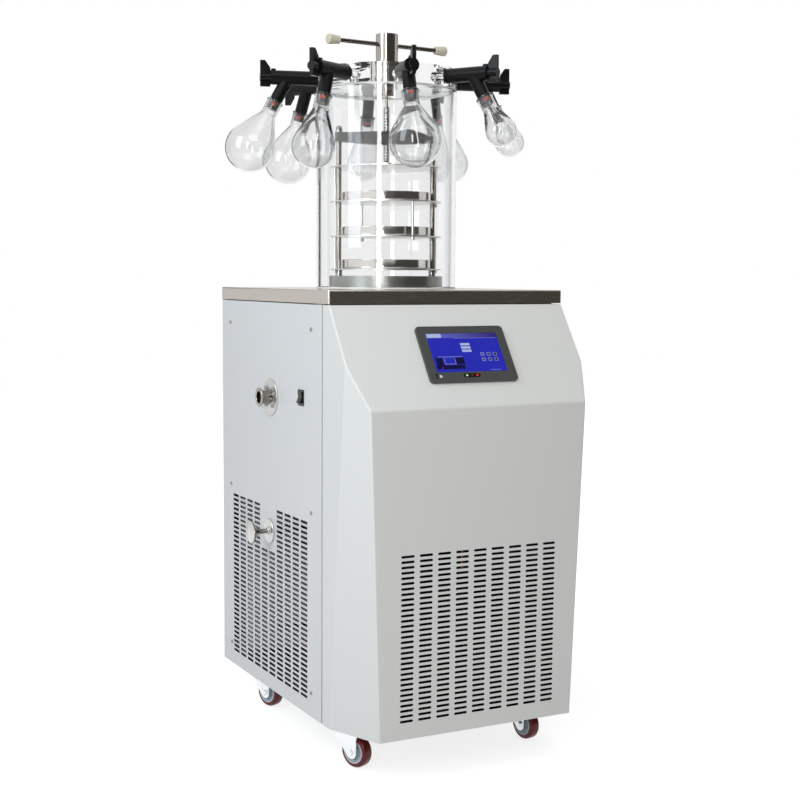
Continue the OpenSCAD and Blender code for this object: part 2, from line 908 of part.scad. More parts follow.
module handle_hub() {
    nut_h = 13;
    color("silver") place() translate([0, 0, worktop_z + lid_z]) difference() {
        union() {
            translate([0, 0, lid_t])
                cylinder(h = hub_h - 1, d = hub_d);
            translate([0, 0, lid_t + hub_h - 1])
                cylinder(h = 1, d = hub_d - 2);
            translate([0, 0, -nut_h])
                cylinder(h = lid_t + nut_h + 1, d = shaft_d);
            translate([0, 0, -nut_h])
                cylinder(h = nut_h, d = shaft_d + 5);
            translate([0, 0, screw_top - lid_z - 3 * gap_travel - 5])
                cylinder(h = lid_z - screw_top + 3 * gap_travel + 6, d = stem_d);
        }
        translate([0, 0, lid_t + tbar_z])
            rotate([0, 0, tbar_az])
                translate([-hub_d, 0, 0])
                    rod_x(tbar_d + 2 * run_fit, 2 * hub_d);
    }
}

module t_bar() {
    color("silver") place() translate([0, 0, worktop_z + lid_z + lid_t + tbar_z])
        rotate([0, 0, tbar_az])
            translate([tbar_slide - tbar_reach + 8, 0, 0])
                rod_x(tbar_d, 2 * tbar_reach - 16);
}

module bar_caps() {
    color("ivory") place() translate([0, 0, worktop_z + lid_z + lid_t + tbar_z])
        rotate([0, 0, tbar_az])
            translate([tbar_slide, 0, 0])
                for (s = [0, 180])
                    rotate([0, 0, s])
                        translate([tbar_reach - cap_len, 0, 0])
                            rotate([0, 90, 0])
                                bar_cap();
}

module bar_cap() {
    difference() {
        union() {
            cylinder(h = cap_len - 3, d1 = cap_d - 4, d2 = cap_d);
            translate([0, 0, cap_len - 3 - eps])
                cylinder(h = 3, d1 = cap_d, d2 = cap_d - 4);
        }
        translate([0, 0, -1])
            cylinder(h = cap_len - 8 + 1, d = tbar_d + 2 * run_fit);
    }
}

// --- cold trap and refrigeration ---
module cold_trap() {
    color("silver") place() difference() {
        union() {
            translate([0, 0, trap_bottom])
                cylinder(h = trap_depth - worktop_t, d = trap_d + 2 * trap_wall);
            translate([0, 0, foam_top])
                cylinder(h = worktop_z - worktop_t - foam_top, d = trap_d + 46);
            for (n = [0:coil_turns - 1])
                translate([0, 0, coil_top - n * coil_pitch])
                    rotate_extrude()
                        translate([coil_r, 0])
                            circle(d = line_d);
            translate([0, 0, stub_z])
                cylinder(h = trap_bottom - stub_z + 1, d = drain_stub);
        }
        translate([0, 0, trap_bottom + trap_wall])
            cylinder(h = trap_depth, d = trap_d);
        translate([0, 0, stub_z - 1])
            cylinder(h = trap_bottom - stub_z + trap_wall + 2, d = line_d + 2 * seat_gap);
        translate([0, vac_y, vac_z])
            rotate([0, -90, 0])
                cylinder(h = trap_d, d = vac_d + 2 * seat_gap);
    }
}

module trap_insulation() {
    color("khaki") place() difference() {
        translate([0, 0, trap_bottom - foam_floor])
            cylinder(h = foam_top - trap_bottom + foam_floor, d = foam_d);
        translate([0, 0, trap_bottom])
            cylinder(h = trap_depth, d = coil_space);
        translate([0, 0, trap_bottom - foam_floor - 1])
            cylinder(h = foam_floor + 2, d = drain_stub + 2 * seat_gap);
        translate([0, vac_y, vac_z])
            rotate([0, -90, 0])
                cylinder(h = foam_d, d = vac_d + 2 * seat_gap);
        // channels of the two refrigerant lines
        translate([line_r, 0, trap_bottom - foam_floor - 1])
            cylinder(h = coil_top - trap_bottom + foam_floor + elbow_d / 2 + 2, d = elbow_d + 2 * seat_gap);
        translate([0, -line_r, trap_bottom - foam_floor - 1])
            cylinder(h = coil_low - trap_bottom + foam_floor + elbow_d / 2 + 2, d = elbow_d + 2 * seat_gap);
        translate([0, 0, coil_top])
            rod_x(line_d + 2 * seat_gap, line_r);
        translate([0, 0, coil_low])
            rotate([90, 0, 0])
                cylinder(h = line_r, d = line_d + 2 * seat_gap);
    }
}

comp_x = 120;
comp_y = 150;

module compressor() {
    foot = 14;
    color("black") place() translate([comp_x, comp_y, floor_z]) {
        translate([0, 0, foot])
            rotate_extrude() {
                square([comp_d / 2, comp_h - foot - 40]);
                translate([0, comp_h - foot - 40])
                    intersection() {
                        circle(r = comp_d / 2);
                        square([comp_d / 2, 40]);
                    }
            }
        for (s = [-1, 1], t = [-1, 1])
            translate([s * 60, t * 60, 0])
                cylinder(h = foot + 2, d = 24);
        translate([-72, -72, foot])
            cube([144, 144, 4]);
    }
}

module condenser() {
    depth = 44;
    fins = 22;
    color("darkgray") place() translate([-cond_w / 2, fan_y - 30 - depth, floor_z]) {
        for (x = [0:(cond_w - 2) / fins:cond_w - 2])
            translate([x, 0, 0])
                cube([1.2, depth, cond_w]);
        for (z = [30:40:cond_w - 20], y = [12, 32])
            translate([0, y, z])
                rod_x(10, cond_w);
    }
}

// The fan's shroud behind the condenser, with the arms that carry its motor
module fan_mount() {
    face = fan_y - 30;
    arm_y = fan_y + 26;
    arm_reach = fan_d / 2 + 6;
    color("dimgray") place() {
        difference() {
            box([-cond_w / 2, face, floor_z], [cond_w / 2, face + 2, floor_z + cond_w]);
            translate([0, face + 3, fan_z])
                rotate([90, 0, 0])
                    cylinder(h = 5, d = fan_d + 12);
        }
        translate([0, face + 30, fan_z])
            rotate([90, 0, 0])
                ring(fan_d + 16, fan_d + 12, 30);
        for (a = [45:90:315])
            translate([0, arm_y, fan_z])
                rotate([90, a, 0]) {
                    translate([motor_d / 2 - 3, -5, 0])
                        cube([arm_reach - motor_d / 2 + 5, 10, 4]);
                    translate([arm_reach, -5, 0])
                        cube([2, 10, 28]);
                }
        translate([0, fan_y + 18, fan_z])
            rotate([-90, 0, 0]) {
                cylinder(h = motor_l, d = motor_d);
                translate([0, 0, -30])
                    cylinder(h = 31, d = motor_shaft);
            }
    }
}

module fan_blades() {
    hub_l = 22;
    color("white") place() translate([0, fan_y + 12, fan_z]) rotate([90, 0, 0]) difference() {
        union() {
            cylinder(h = hub_l, d = 46);
            for (a = [0:72:288])
                rotate([0, 0, a])
                    translate([fan_d / 4 + 6, 0, hub_l / 2])
                        rotate([28, 0, 0])
                            cube([fan_d / 2 - 20, 44, 1.6], center = true);
        }
        translate([0, 0, -1])
            cylinder(h = hub_l + 2, d = motor_shaft + 2 * run_fit);
        translate([0, 0, -50])
            ring(2 * fan_d, fan_d - 6, 100);
    }
}

module electrical_box() {
    w = 150;
    d = 90;
    h = 220;
    color("lightgray") place() translate([-half_w + sheet + frame_tube + 10, back_y - sheet - d, 130])
        difference() {
            cube([w, d, h]);
            translate([2, 2, 2])
                cube([w - 4, d, h - 4]);
        }
}

module power_inlet() {
    color("black") place() translate([inlet_x, back_y, inlet_z]) difference() {
        union() {
            box([-inlet_w / 2 - 8, 0, -inlet_h / 2 - 4], [inlet_w / 2 + 8, inlet_proud, inlet_h / 2 + 4]);
            box([-inlet_w / 2 + gap, -28, -inlet_h / 2 + gap], [inlet_w / 2 - gap, 1, inlet_h / 2 - gap]);
        }
        difference() {
            box([-12, -20, -8], [12, 10, 8]);
            for (x = [-7, 0, 7])
                box([x - 1, -21, -2], [x + 1, -4, 3]);
        }
    }
}

module vacuum_port() {
    inside = half_w - trap_d / 2;
    color("silver") place() on_left(vac_y, vac_z) difference() {
        union() {
            translate([0, 0, -inside])
                cylinder(h = inside + vac_reach, d = vac_d);
            cylinder(h = wall_flange_t, d = vac_wall_d);
            translate([0, 0, vac_reach - 3])
                cylinder(h = 3, d = vac_end_d);
            translate([0, 0, vac_reach - 6])
                cylinder(h = 3, d1 = vac_d, d2 = vac_end_d);
        }
        translate([0, 0, -inside - 1])
            cylinder(h = inside + vac_reach + 2, d = vac_bore);
    }
}

module drain_fitting() {
    color("silver") place() on_left(drain_y, drain_z) difference() {
        union() {
            cylinder(h = 4, d = drain_disc_d);
            translate([0, 0, -40])
                cylinder(h = 41, d = 20);
            cylinder(h = 8, d = 16);
        }
        translate([0, 0, -41])
            cylinder(h = 50, d = 10 + 2 * run_fit);
    }
}

module drain_knob() {
    rim = 4;
    color("silver") place() on_left(drain_y, drain_z) {
        translate([0, 0, -10])
            cylinder(h = drain_reach, d = 10);
        translate([0, 0, drain_reach - rim - 14])
            cylinder(h = 14, d1 = 12, d2 = drain_knob_d - 4);
        translate([0, 0, drain_reach - rim - eps])
            cylinder(h = rim, d = drain_knob_d);
    }
}

// A run of pipe through a list of points, with an elbow at each inner one
module pipe_run(points) {
    last = len(points) - 1;
    for (i = [0:last - 1]) {
        v = points[i + 1] - points[i];
        translate(points[i])
            rotate([0, acos(v[2] / norm(v)), atan2(v[1], v[0])])
                cylinder(h = norm(v), d = line_d);
        if (i > 0)
            translate(points[i])
                sphere(d = elbow_d);
    }
}

// The drain line, the suction line, the discharge line and the line back to the trap's coil
module pipework() {
    cross_z = 400;
    low_z = floor_z + 90;
    return_z = 520;
    return_x = cond_w / 2 + 50;
    cond_y = fan_y - 62;
    color("peru") place() {
        pipe_run([[0, 0, stub_z + 10], [0, 0, drain_z + 40], [0, drain_y, drain_z],
            [-half_w + 30, drain_y, drain_z]]);
        pipe_run([[coil_r + line_d / 2, 0, coil_top], [line_r, 0, coil_top], [line_r, 0, cross_z],
            [comp_x, comp_y, cross_z], [comp_x, comp_y, floor_z + comp_h]]);
        pipe_run([[comp_x - comp_d / 2 - seat_gap, comp_y, low_z], [-cond_w / 2 - 40, comp_y, low_z],
            [-cond_w / 2 - 40, cond_y, low_z], [-cond_w / 2, cond_y, low_z]]);
        pipe_run([[cond_w / 2, cond_y, low_z], [return_x, cond_y, low_z], [return_x, 0, low_z],
            [return_x, 0, return_z], [0, -line_r, return_z], [0, -line_r, coil_low],
            [0, -coil_r - line_d / 2, coil_low]]);
    }
}

// --- switch and touch screen ---
module switch_housing() {
    wall = 2;
    color("black") place() on_left(-switch_y, switch_z) difference() {
        union() {
            translate([0, 0, 1])
                cube([switch_w, switch_h, 2], center = true);
            translate([0, 0, -11])
                cube([switch_w - 4, switch_h - 4, 23], center = true);
        }
        translate([0, 0, -8])
            cube([switch_w - 2 * wall - 3, switch_h - 2 * wall - 1.5, 24], center = true);
        translate([-switch_w / 2 + 2, 0, 0])
            rod_x(pivot_d + 2 * run_fit, switch_w - 4);
    }
}

// Drawn at its switched-off tilt
module switch_rocker() {
    w = switch_w - 7 - 2 * gap;
    h = switch_h / 2 - 4;
    color("black") place() on_left(-switch_y, switch_z) rotate([-rocker_tilt, 0, 0]) {
        translate([w / 2, 0, 0])
            rotate([90, 0, -90])
                linear_extrude(w)
                    polygon([[-h + 1, -2], [h - 1, -2], [h, 6.5], [0, 3.6], [-h, 6.5]]);
        translate([-switch_w / 2 + 2.2, 0, 0])
            rod_x(pivot_d, switch_w - 4.4);
    }
}

module hmi_bezel() {
    lip = 3;
    color("dimgray") place() on_slope(hmi_down) difference() {
        union() {
            translate([0, 0, hmi_proud / 2])
                cube([hmi_w, hmi_h, hmi_proud], center = true);
            box([-hmi_w / 2 + 9, -hmi_h / 2 + 9, -30], [hmi_w / 2 - 9, hmi_h / 2 - 9, 1]);
        }
        translate([0, glass_up, hmi_proud])
            cube([glass_w, glass_h, 2 * lip], center = true);
    }
}

module hmi_glass() {
    lip = 3;
    color("royalblue") place() on_slope(hmi_down)
        translate([0, glass_up, hmi_proud - lip + 1])
            cube([glass_w - 2 * seat_gap, glass_h - 2 * seat_gap, 2], center = true);
}

// --- casters ---
module at_swivel(n) {
    translate([swivels[n][0], swivels[n][1], 0])
        rotate([0, 0, headings[n]])
            children();
}

module caster_plates() {
    color("silver") place()
        for (n = [0:3])
            at_swivel(n) {
                rotate([0, 0, -headings[n]])
                    translate([-30, -30, skirt_z - plate_t])
                        cube([60, 60, plate_t]);
                translate([0, 0, fork_top])
                    cylinder(h = skirt_z - plate_t - fork_top + eps, d = 40);
                translate([0, 0, fork_top - fork_t - 6])
                    cylinder(h = 7 + fork_t, d = 10);
                translate([0, 0, fork_top - fork_t - 6])
                    cylinder(h = 6 - seat_gap, d = 17);
            }
}

// Seen from above: two legs, joined round the back
module fork_plan(half, front, bend_y) {
    translate([0, bend_y])
        circle(r = half);
    translate([-half, front])
        square([2 * half, bend_y - front]);
}

// Seen from the side: upright in front, round at the axle, sloping up to the back of the head
module fork_side(front, back, top) {
    axle_z = wheel_d / 2;
    slope_z = top - 6;
    d = [back + trail, slope_z - axle_z];
    a = atan2(d[1], d[0]) - acos(leg_r / norm(d));
    translate([-trail, axle_z])
        circle(r = leg_r);
    polygon([[front, axle_z], [-trail, axle_z], [-trail + leg_r * cos(a), axle_z + leg_r * sin(a)],
        [back, slope_z], [back, top], [front, top]]);
}

module fork(n) {
    top = fork_top - seat_gap;
    outer = fork_in + fork_t;
    front = -trail - leg_r;
    back = fork_head_d / 2;
    bend_y = back - outer;
    color("silver") place() at_swivel(n) {
        difference() {
            translate([0, 0, top - fork_t])
                cylinder(h = fork_t, d = fork_head_d);
            translate([0, 0, top - fork_t - 1])
                cylinder(h = fork_t + 2, d = 10 + 2 * run_fit);
        }
        difference() {
            intersection() {
                linear_extrude(top)
                    difference() {
                        fork_plan(outer, front, bend_y);
                        fork_plan(fork_in, front - 1, bend_y);
                    }
                translate([-outer, 0, 0])
                    rotate([90, 0, 90])
                        linear_extrude(2 * outer)
                            fork_side(front, back, top);
            }
            translate([-2 * fork_in, -trail, wheel_d / 2])
                rod_x(axle_d + 2 * seat_gap, 4 * fork_in);
        }
        axle();
    }
}

module axle() {
    head = 5;
    translate([-fork_in - fork_t - head, -trail, wheel_d / 2])
        rotate([0, 90, 0]) {
            cylinder(h = 2 * (fork_in + fork_t + head), d = axle_d);
            cylinder(h = head, d = 13, $fn = 6);
            translate([0, 0, 2 * (fork_in + fork_t) + head])
                cylinder(h = head, d = 13, $fn = 6);
        }
}

module wheel(n) {
    color("firebrick") place() at_swivel(n) translate([-wheel_w / 2, -trail, wheel_d / 2]) rotate([0, 90, 0])
        difference() {
            union() {
                translate([0, 0, 2])
                    cylinder(h = wheel_w - 4, d = wheel_d);
                cylinder(h = 2 + eps, d1 = wheel_d - 5, d2 = wheel_d);
                translate([0, 0, wheel_w - 2 - eps])
                    cylinder(h = 2 + eps, d1 = wheel_d, d2 = wheel_d - 5);
            }
            for (z = [-1, wheel_w - 4])
                translate([0, 0, z])
                    ring(wheel_d - 2 * tread_t - 4, 24, 5);
            translate([0, 0, -1])
                cylinder(h = wheel_w + 2, d = axle_d + 2 * run_fit);
        }
}

module fork_fl() { fork(0); }
module fork_fr() { fork(1); }
module fork_rl() { fork(2); }
module fork_rr() { fork(3); }
module wheel_fl() { wheel(0); }
module wheel_fr() { wheel(1); }
module wheel_rl() { wheel(2); }
module wheel_rr() { wheel(3); }

base_frame();
front_cover();
left_panel();
right_panel();
rear_panel();
fasteners();
worktop();
trap_collar();
chamber_tube();
chamber_seals();
lid();
lid_bush();
valve_bodies();
flasks();
posts();
crossbar();
shelf_3();
tray_3();
cold_trap();
trap_insulation();
compressor();
condenser();
fan_mount();
electrical_box();
power_inlet();
vacuum_port();
drain_fitting();
pipework();
switch_housing();
hmi_bezel();
hmi_glass();
caster_plates();
handle_hub();
t_bar();
bar_caps();
press_screw();
press_plate();
shelf_1();
tray_1();
shelf_2();
tray_2();
fork_fl();
fork_fr();
fork_rl();
fork_rr();
wheel_fl();
wheel_fr();
wheel_rl();
wheel_rr();
switch_rocker();
drain_knob();
fan_blades();
knob_1();
knob_2();
knob_3();
knob_4();
knob_5();
knob_6();
knob_7();
knob_8();
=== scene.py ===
# %% [markdown]
# # A laboratory freeze dryer
#
# A freeze dryer is a cold trap in a wheeled cabinet with a clear chamber on top of it. Food or
# samples freeze in the round trays, or in the glass flasks that hang from the lid's valves, and a
# vacuum then draws the ice off as vapour.
#
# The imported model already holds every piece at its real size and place. This file gives each
# piece its finish: folded and painted sheet, turned steel, clear acrylic, blown glass and moulded
# rubber. It never moves a piece. Where the plain solid lacks a fold, a round edge, a thread or a
# grille's round slots, a new mesh is modelled in its place, and it rides on the same body.

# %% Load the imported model
import json
import math

import bmesh
import bpy
from mathutils import Matrix, Vector


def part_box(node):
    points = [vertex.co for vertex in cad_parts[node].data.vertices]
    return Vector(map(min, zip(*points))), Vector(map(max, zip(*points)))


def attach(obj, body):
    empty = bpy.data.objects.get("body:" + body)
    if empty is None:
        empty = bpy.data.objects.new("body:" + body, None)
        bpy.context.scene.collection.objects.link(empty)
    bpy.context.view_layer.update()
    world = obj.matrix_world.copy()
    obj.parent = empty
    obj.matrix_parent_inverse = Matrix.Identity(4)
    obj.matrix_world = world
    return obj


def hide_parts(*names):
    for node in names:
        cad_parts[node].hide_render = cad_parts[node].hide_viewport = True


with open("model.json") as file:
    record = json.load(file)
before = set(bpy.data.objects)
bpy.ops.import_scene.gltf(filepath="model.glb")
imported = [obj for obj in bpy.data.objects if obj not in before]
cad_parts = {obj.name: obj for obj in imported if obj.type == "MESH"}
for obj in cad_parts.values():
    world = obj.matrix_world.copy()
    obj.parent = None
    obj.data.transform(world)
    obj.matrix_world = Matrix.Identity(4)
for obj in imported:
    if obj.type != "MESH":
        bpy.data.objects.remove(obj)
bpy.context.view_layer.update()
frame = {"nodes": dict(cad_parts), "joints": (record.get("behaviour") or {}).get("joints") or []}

scene = bpy.context.scene

# %% [markdown]
# ## Landmarks
#
# Nearly everything stands round one upright line: the axis of the trap, the chamber and the
# press. The joint of the handle lies on it, so its place is read from the frame. A shape can then
# be drawn round the origin, where numbers are simple, and be carried to the axis at the end.

# %% Landmarks from the frame
right, back, up = Vector((1, 0, 0)), Vector((0, 1, 0)), Vector((0, 0, 1))
joints = {joint["name"]: joint for joint in frame["joints"]}
axis = Vector((*joints["handle_turn"]["pos_m"][:2], 0))
worktop_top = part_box("worktop")[1].z
panel_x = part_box("left_panel")[0].x
print("axis", [round(v, 4) for v in axis], "worktop", round(worktop_top, 3))


def at_axis(x, y, z):
    """A point given from the chamber's axis and the floor."""
    return axis + Vector((x, y, z))


def frame_at(point, z_dir, y_dir=up):
    """The matrix that puts a shape's origin at point, with its Z along z_dir and its Y towards y_dir."""
    z = Vector(z_dir).normalized()
    x = Vector(y_dir).cross(z).normalized()
    matrix = Matrix((x, z.cross(x), z)).transposed().to_4x4()
    matrix.translation = point
    return matrix


# %% [markdown]
# ## Camera
#
# The picture is taken from the front left, a little above the worktop, with a short telephoto
# lens. Its place is given from the chamber's axis, and its turn by a compass angle, a tilt and a
# slight roll.

# %% Camera
def add_object(name, data):
    """Puts a camera, a lamp or a mesh into the scene."""
    thing = bpy.data.objects.new(name, data)
    scene.collection.objects.link(thing)
    return thing


camera_data = bpy.data.cameras.new("studio_camera")
camera_data.lens = 63.29
camera_data.sensor_width = 36
camera_data.clip_end = 50
camera = add_object("studio_camera", camera_data)
scene.camera = camera
yaw, pitch, roll = math.radians(27.376), math.radians(-5.095), math.radians(0.33)
level = Vector((math.sin(yaw), math.cos(yaw), 0))
forward = level * math.cos(pitch) + up * math.sin(pitch)
camera_place = at_axis(-1.3782, -2.7315, 0.9821)
camera.matrix_world = frame_at(camera_place, -forward) @ Matrix.Rotation(roll, 4, "Z")
print("camera at", [round(v, 3) for v in camera.location])

# %% [markdown]
# ## Trees of nodes
#
# The world, the floor and every finish are trees of small nodes. To add a node, set it up and link
# it takes a line for each socket, and there are hundreds of sockets here. So one helper feeds a
# socket, whether with a plain value or from another node, and the others are built on it.

# %% Nodes in one line each
white, mid_grey = (1, 1, 1, 1), (0.5, 0.5, 0.5, 1)


def feed(tree, socket, value):
    """Gives a socket a plain value, or links another node's output to it."""
    if isinstance(value, bpy.types.NodeSocket):
        tree.links.new(value, socket)
    else:
        socket.default_value = value


def add_node(tree, kind, inputs=(), **settings):
    """Adds a shader node of a kind, with its settings, and feeds its named or numbered inputs."""
    node = tree.nodes.new("ShaderNode" + kind)
    for name, value in settings.items():
        setattr(node, name, value)
    for name, value in dict(inputs).items():
        feed(tree, node.inputs[name], value)
    return node


def math_node(tree, operation, first, second):
    """The result of a sum or another operation on two values."""
    return add_node(tree, "Math", {0: first, 1: second}, operation=operation).outputs[0]


def new_material(name, inputs=()):
    """A material, the tree of its nodes and its main shader, whose inputs are fed."""
    material = bpy.data.materials.new(name)
    material.use_nodes = True
    shader = material.node_tree.nodes["Principled BSDF"]
    for socket, value in dict(inputs).items():
        feed(material.node_tree, shader.inputs[socket], value)
    return material, material.node_tree, shader


# %% [markdown]
# ## Studio
#
# A pale room with soft light shows a white machine best. The world is white wherever the lens, a
# mirror or a glass looks at it, and dimmer as a lamp, so the background stays white while the
# paint keeps its own grey. The floor is a real surface that takes the machine's shadow.
#
# Polished steel and clear plastic show only what stands round them. Soft boxes give them their
# bright bands, and dark boards, which only mirrors and glass can see, give them their dark ones.

# %% World
world = bpy.data.worlds.new("pale_room")
scene.world = world
world.use_nodes = True
sky = world.node_tree.nodes["Background"]
sky.inputs["Color"].default_value = white
sky_level = 0.37
print("sky gives", sky_level, "of what it shows")


def seen_share(tree):
    """1 where the lens, a mirror or a glass looks, and 0 for light that falls on a matt surface."""
    path = add_node(tree, "LightPath")
    either = math_node(tree, "MAXIMUM", path.outputs["Is Camera Ray"], path.outputs["Is Glossy Ray"])
    return math_node(tree, "MAXIMUM", either, path.outputs["Is Transmission Ray"])


strength = add_node(world.node_tree, "MapRange",
                    {"Value": seen_share(world.node_tree), "To Min": sky_level, "To Max": 1.0})
feed(world.node_tree, sky.inputs["Strength"], strength.outputs["Result"])


# %% Floor
def mesh_object(name, bm, material):
    """Makes an object with one material of a bmesh, and frees the bmesh."""
    mesh = bpy.data.meshes.new(name)
    bm.to_mesh(mesh)
    bm.free()
    mesh.materials.append(material)
    return add_object(name, mesh)


floor_radius, shadow_reach, white_from, shadow_glow = 9, 0.45, 1.3, 0.78
floor_paint, tree, shader = new_material("floor_paint", {
    "Base Color": mid_grey, "Roughness": 1, "Specular IOR Level": 0, "Emission Color": white})
place = add_node(tree, "TexCoord")
distance = add_node(tree, "VectorMath", {0: place.outputs["Object"], 1: axis}, operation="DISTANCE")
away = add_node(tree, "MapRange", {"Value": distance.outputs["Value"], "From Min": shadow_reach,
                                   "From Max": white_from, "To Min": shadow_glow, "To Max": 1.0},
                interpolation_type="SMOOTHSTEP")
feed(tree, shader.inputs["Emission Strength"],
     math_node(tree, "MULTIPLY", away.outputs["Result"], seen_share(tree)))
bm = bmesh.new()
bmesh.ops.create_circle(bm, cap_ends=True, radius=floor_radius, segments=96)
mesh_object("floor", bm, floor_paint)
print("floor is white from", white_from, "m")

# %% Soft boxes and dark boards
aim = at_axis(0, 0, 0.9)
to_camera = -level
to_left = Vector((-level.y, level.x, 0))


def around(degrees, distance, height):
    """A point round the machine: degrees to the left of the camera as the machine sees it."""
    turn = math.radians(degrees)
    return at_axis(0, 0, height) + (to_camera * math.cos(turn) + to_left * math.sin(turn)) * distance


def soft_box(name, place, width, height, radiance, colour=(1, 1, 1)):
    """A lamp that shines at the machine. Its power follows its size, so that its face stays as bright."""
    lamp = bpy.data.lights.new(name, "AREA")
    lamp.shape = "RECTANGLE"
    lamp.color = colour
    lamp.size, lamp.size_y = width, height
    lamp.energy = radiance * math.pi * width * height
    add_object(name, lamp).matrix_world = frame_at(place, place - aim)
    print(name, "gives", round(lamp.energy, 1), "W")


def dark_board(name, low_degrees, high_degrees, distance, low, high):
    """A standing board that mirrors and glass see, and that shades nothing."""
    bm = bmesh.new()
    foot = bm.verts.new(around(low_degrees, distance, low))
    head = bm.verts.new(around(low_degrees, distance, high))
    edge = bm.edges.new((foot, head))
    bmesh.ops.spin(bm, geom=[foot, head, edge], cent=axis, axis=(0, 0, -1), dvec=(0, 0, 0),
                   angle=math.radians(high_degrees - low_degrees), steps=12, use_merge=False)
    board = mesh_object(name, bm, board_paint)
    board.visible_camera = board.visible_diffuse = board.visible_shadow = False


board_paint, *_ = new_material("board_paint", {"Base Color": (0.05, 0.046, 0.039, 1)})
soft_box("left_box", around(52, 2.3, 1.95), 1.0, 1.9, 4.3, (0.82, 0.91, 1.0))
soft_box("camera_box", around(11, 3.3, 1.5), 0.4, 1.9, 12.5)
soft_box("top_box", around(-20, 1.9, 2.9), 1.9, 1.5, 1.6)
dark_board("room_wall", 17, -62, 4.6, 0.0, 3.4)
dark_board("right_board", -24, -92, 2.6, 0.0, 2.1)
dark_board("screen_board", -52, -98, 1.6, 2.1, 3.5)
dark_board("left_board", 136, 150, 2.6, 0.1, 2.4)
dark_board("back_board", -122, -136, 2.6, 0.1, 2.4)

# %% [markdown]
# ## Finishes
#
# Two effects are shared by many materials, so each is a node group with named sockets. The first
# gives a surface its fine grain: a noise that is stretched by three numbers, so that the same
# group makes the peel of powder paint, the lines of brushed sheet and the turning marks of a lathe.
# The second finds the outer edges and lifts their colour a little: partly the wear of thin paint and
# hand-polished metal, partly a painted highlight where a round edge would catch the light.

# %% A colour as a screen shows it
def rgb(red, green, blue):
    """Linear colour from the 0 to 255 values of a screen."""
    def linear(value):
        share = value / 255
        return share / 12.92 if share <= 0.04045 else ((share + 0.055) / 1.055) ** 2.4
    return (linear(red), linear(green), linear(blue), 1)


# %% Node group: grain
colour_socket, value_socket, vector_socket = "NodeSocketColor", "NodeSocketFloat", "NodeSocketVector"


def new_group(name, inputs, outputs):
    """A node group with named sockets, and its two end nodes."""
    group = bpy.data.node_groups.new(name, "ShaderNodeTree")
    for socket, kind, value in inputs:
        group.interface.new_socket(socket, in_out="INPUT", socket_type=kind).default_value = value
    for socket, kind in outputs:
        group.interface.new_socket(socket, in_out="OUTPUT", socket_type=kind)
    return group, group.nodes.new("NodeGroupInput").outputs, group.nodes.new("NodeGroupOutput").inputs


grain, given, result = new_group("surface_grain", [
    ("Colour", colour_socket, mid_grey), ("Stretch", vector_socket, (300, 300, 300)),
    ("Contrast", value_socket, 0.05), ("Clouds", value_socket, 0.04),
    ("Roughness", value_socket, 0.4), ("Spread", value_socket, 0.1)],
    [("Colour", colour_socket), ("Roughness", value_socket), ("Height", value_socket)])
place = add_node(grain, "TexCoord").outputs["Object"]
stretched = add_node(grain, "Mapping", {"Vector": place, "Scale": given["Stretch"]}).outputs["Vector"]
fine = add_node(grain, "TexNoise", {"Vector": stretched, "Scale": 1, "Detail": 4}).outputs[0]
clouds = add_node(grain, "TexNoise", {"Vector": place, "Scale": 5, "Detail": 2}).outputs[0]


def swing(noise, amount):
    """A noise that swings round zero, by a given amount."""
    return math_node(grain, "MULTIPLY", math_node(grain, "SUBTRACT", noise, 0.5), amount)


swings = math_node(grain, "ADD", swing(fine, given["Contrast"]), swing(clouds, given["Clouds"]))
tinted = add_node(grain, "VectorMath", {0: given["Colour"], "Scale": math_node(grain, "ADD", swings, 1.0)},
                  operation="SCALE")
feed(grain, result["Colour"], tinted.outputs[0])
feed(grain, result["Roughness"], math_node(grain, "ADD", swing(fine, given["Spread"]), given["Roughness"]))
feed(grain, result["Height"], fine)
print("grain group has", len(grain.nodes), "nodes")

# %% Node group: edges
flat_below, edge_above = 0.505, 0.56
edges, given, result = new_group("worn_edges_and_sheen", [
    ("Colour", colour_socket, mid_grey), ("Edge Colour", colour_socket, white),
    ("Amount", value_socket, 0.3)], [("Colour", colour_socket)])
shape = add_node(edges, "NewGeometry")
# Outer edges get a paler colour: partly wear, partly a painted highlight.
outer = add_node(edges, "MapRange", {"Value": shape.outputs["Pointiness"], "From Min": flat_below,
                                     "From Max": edge_above})
lift = add_node(edges, "Mix", data_type="RGBA")
feed(edges, lift.inputs["Factor"], math_node(edges, "MULTIPLY", outer.outputs["Result"], given["Amount"]))
feed(edges, lift.inputs["A"], given["Colour"])
feed(edges, lift.inputs["B"], given["Edge Colour"])
feed(edges, result["Colour"], lift.outputs["Result"])
print("edge group has", len(edges.nodes), "nodes")

# %% [markdown]
# A material then needs one line: its colour, how matt it is, whether it is a metal, how its grain
# runs and how deep the grain is. Powder paint has a fine even peel, brushed sheet has long lines
# along one direction, and a turned part has rings, which are lines that repeat along its axis.

# %% Solid finishes
def grain_of(size):
    """A grain that is the same in all directions. A larger number makes it finer."""
    return (size, size, size)


even, fine_even, moulded, cast, spangle = (grain_of(size) for size in (700, 900, 420, 200, 60))
rings_up, rings_left, along_x = (12, 12, 2600), (900, 12, 12), (9, 900, 900)


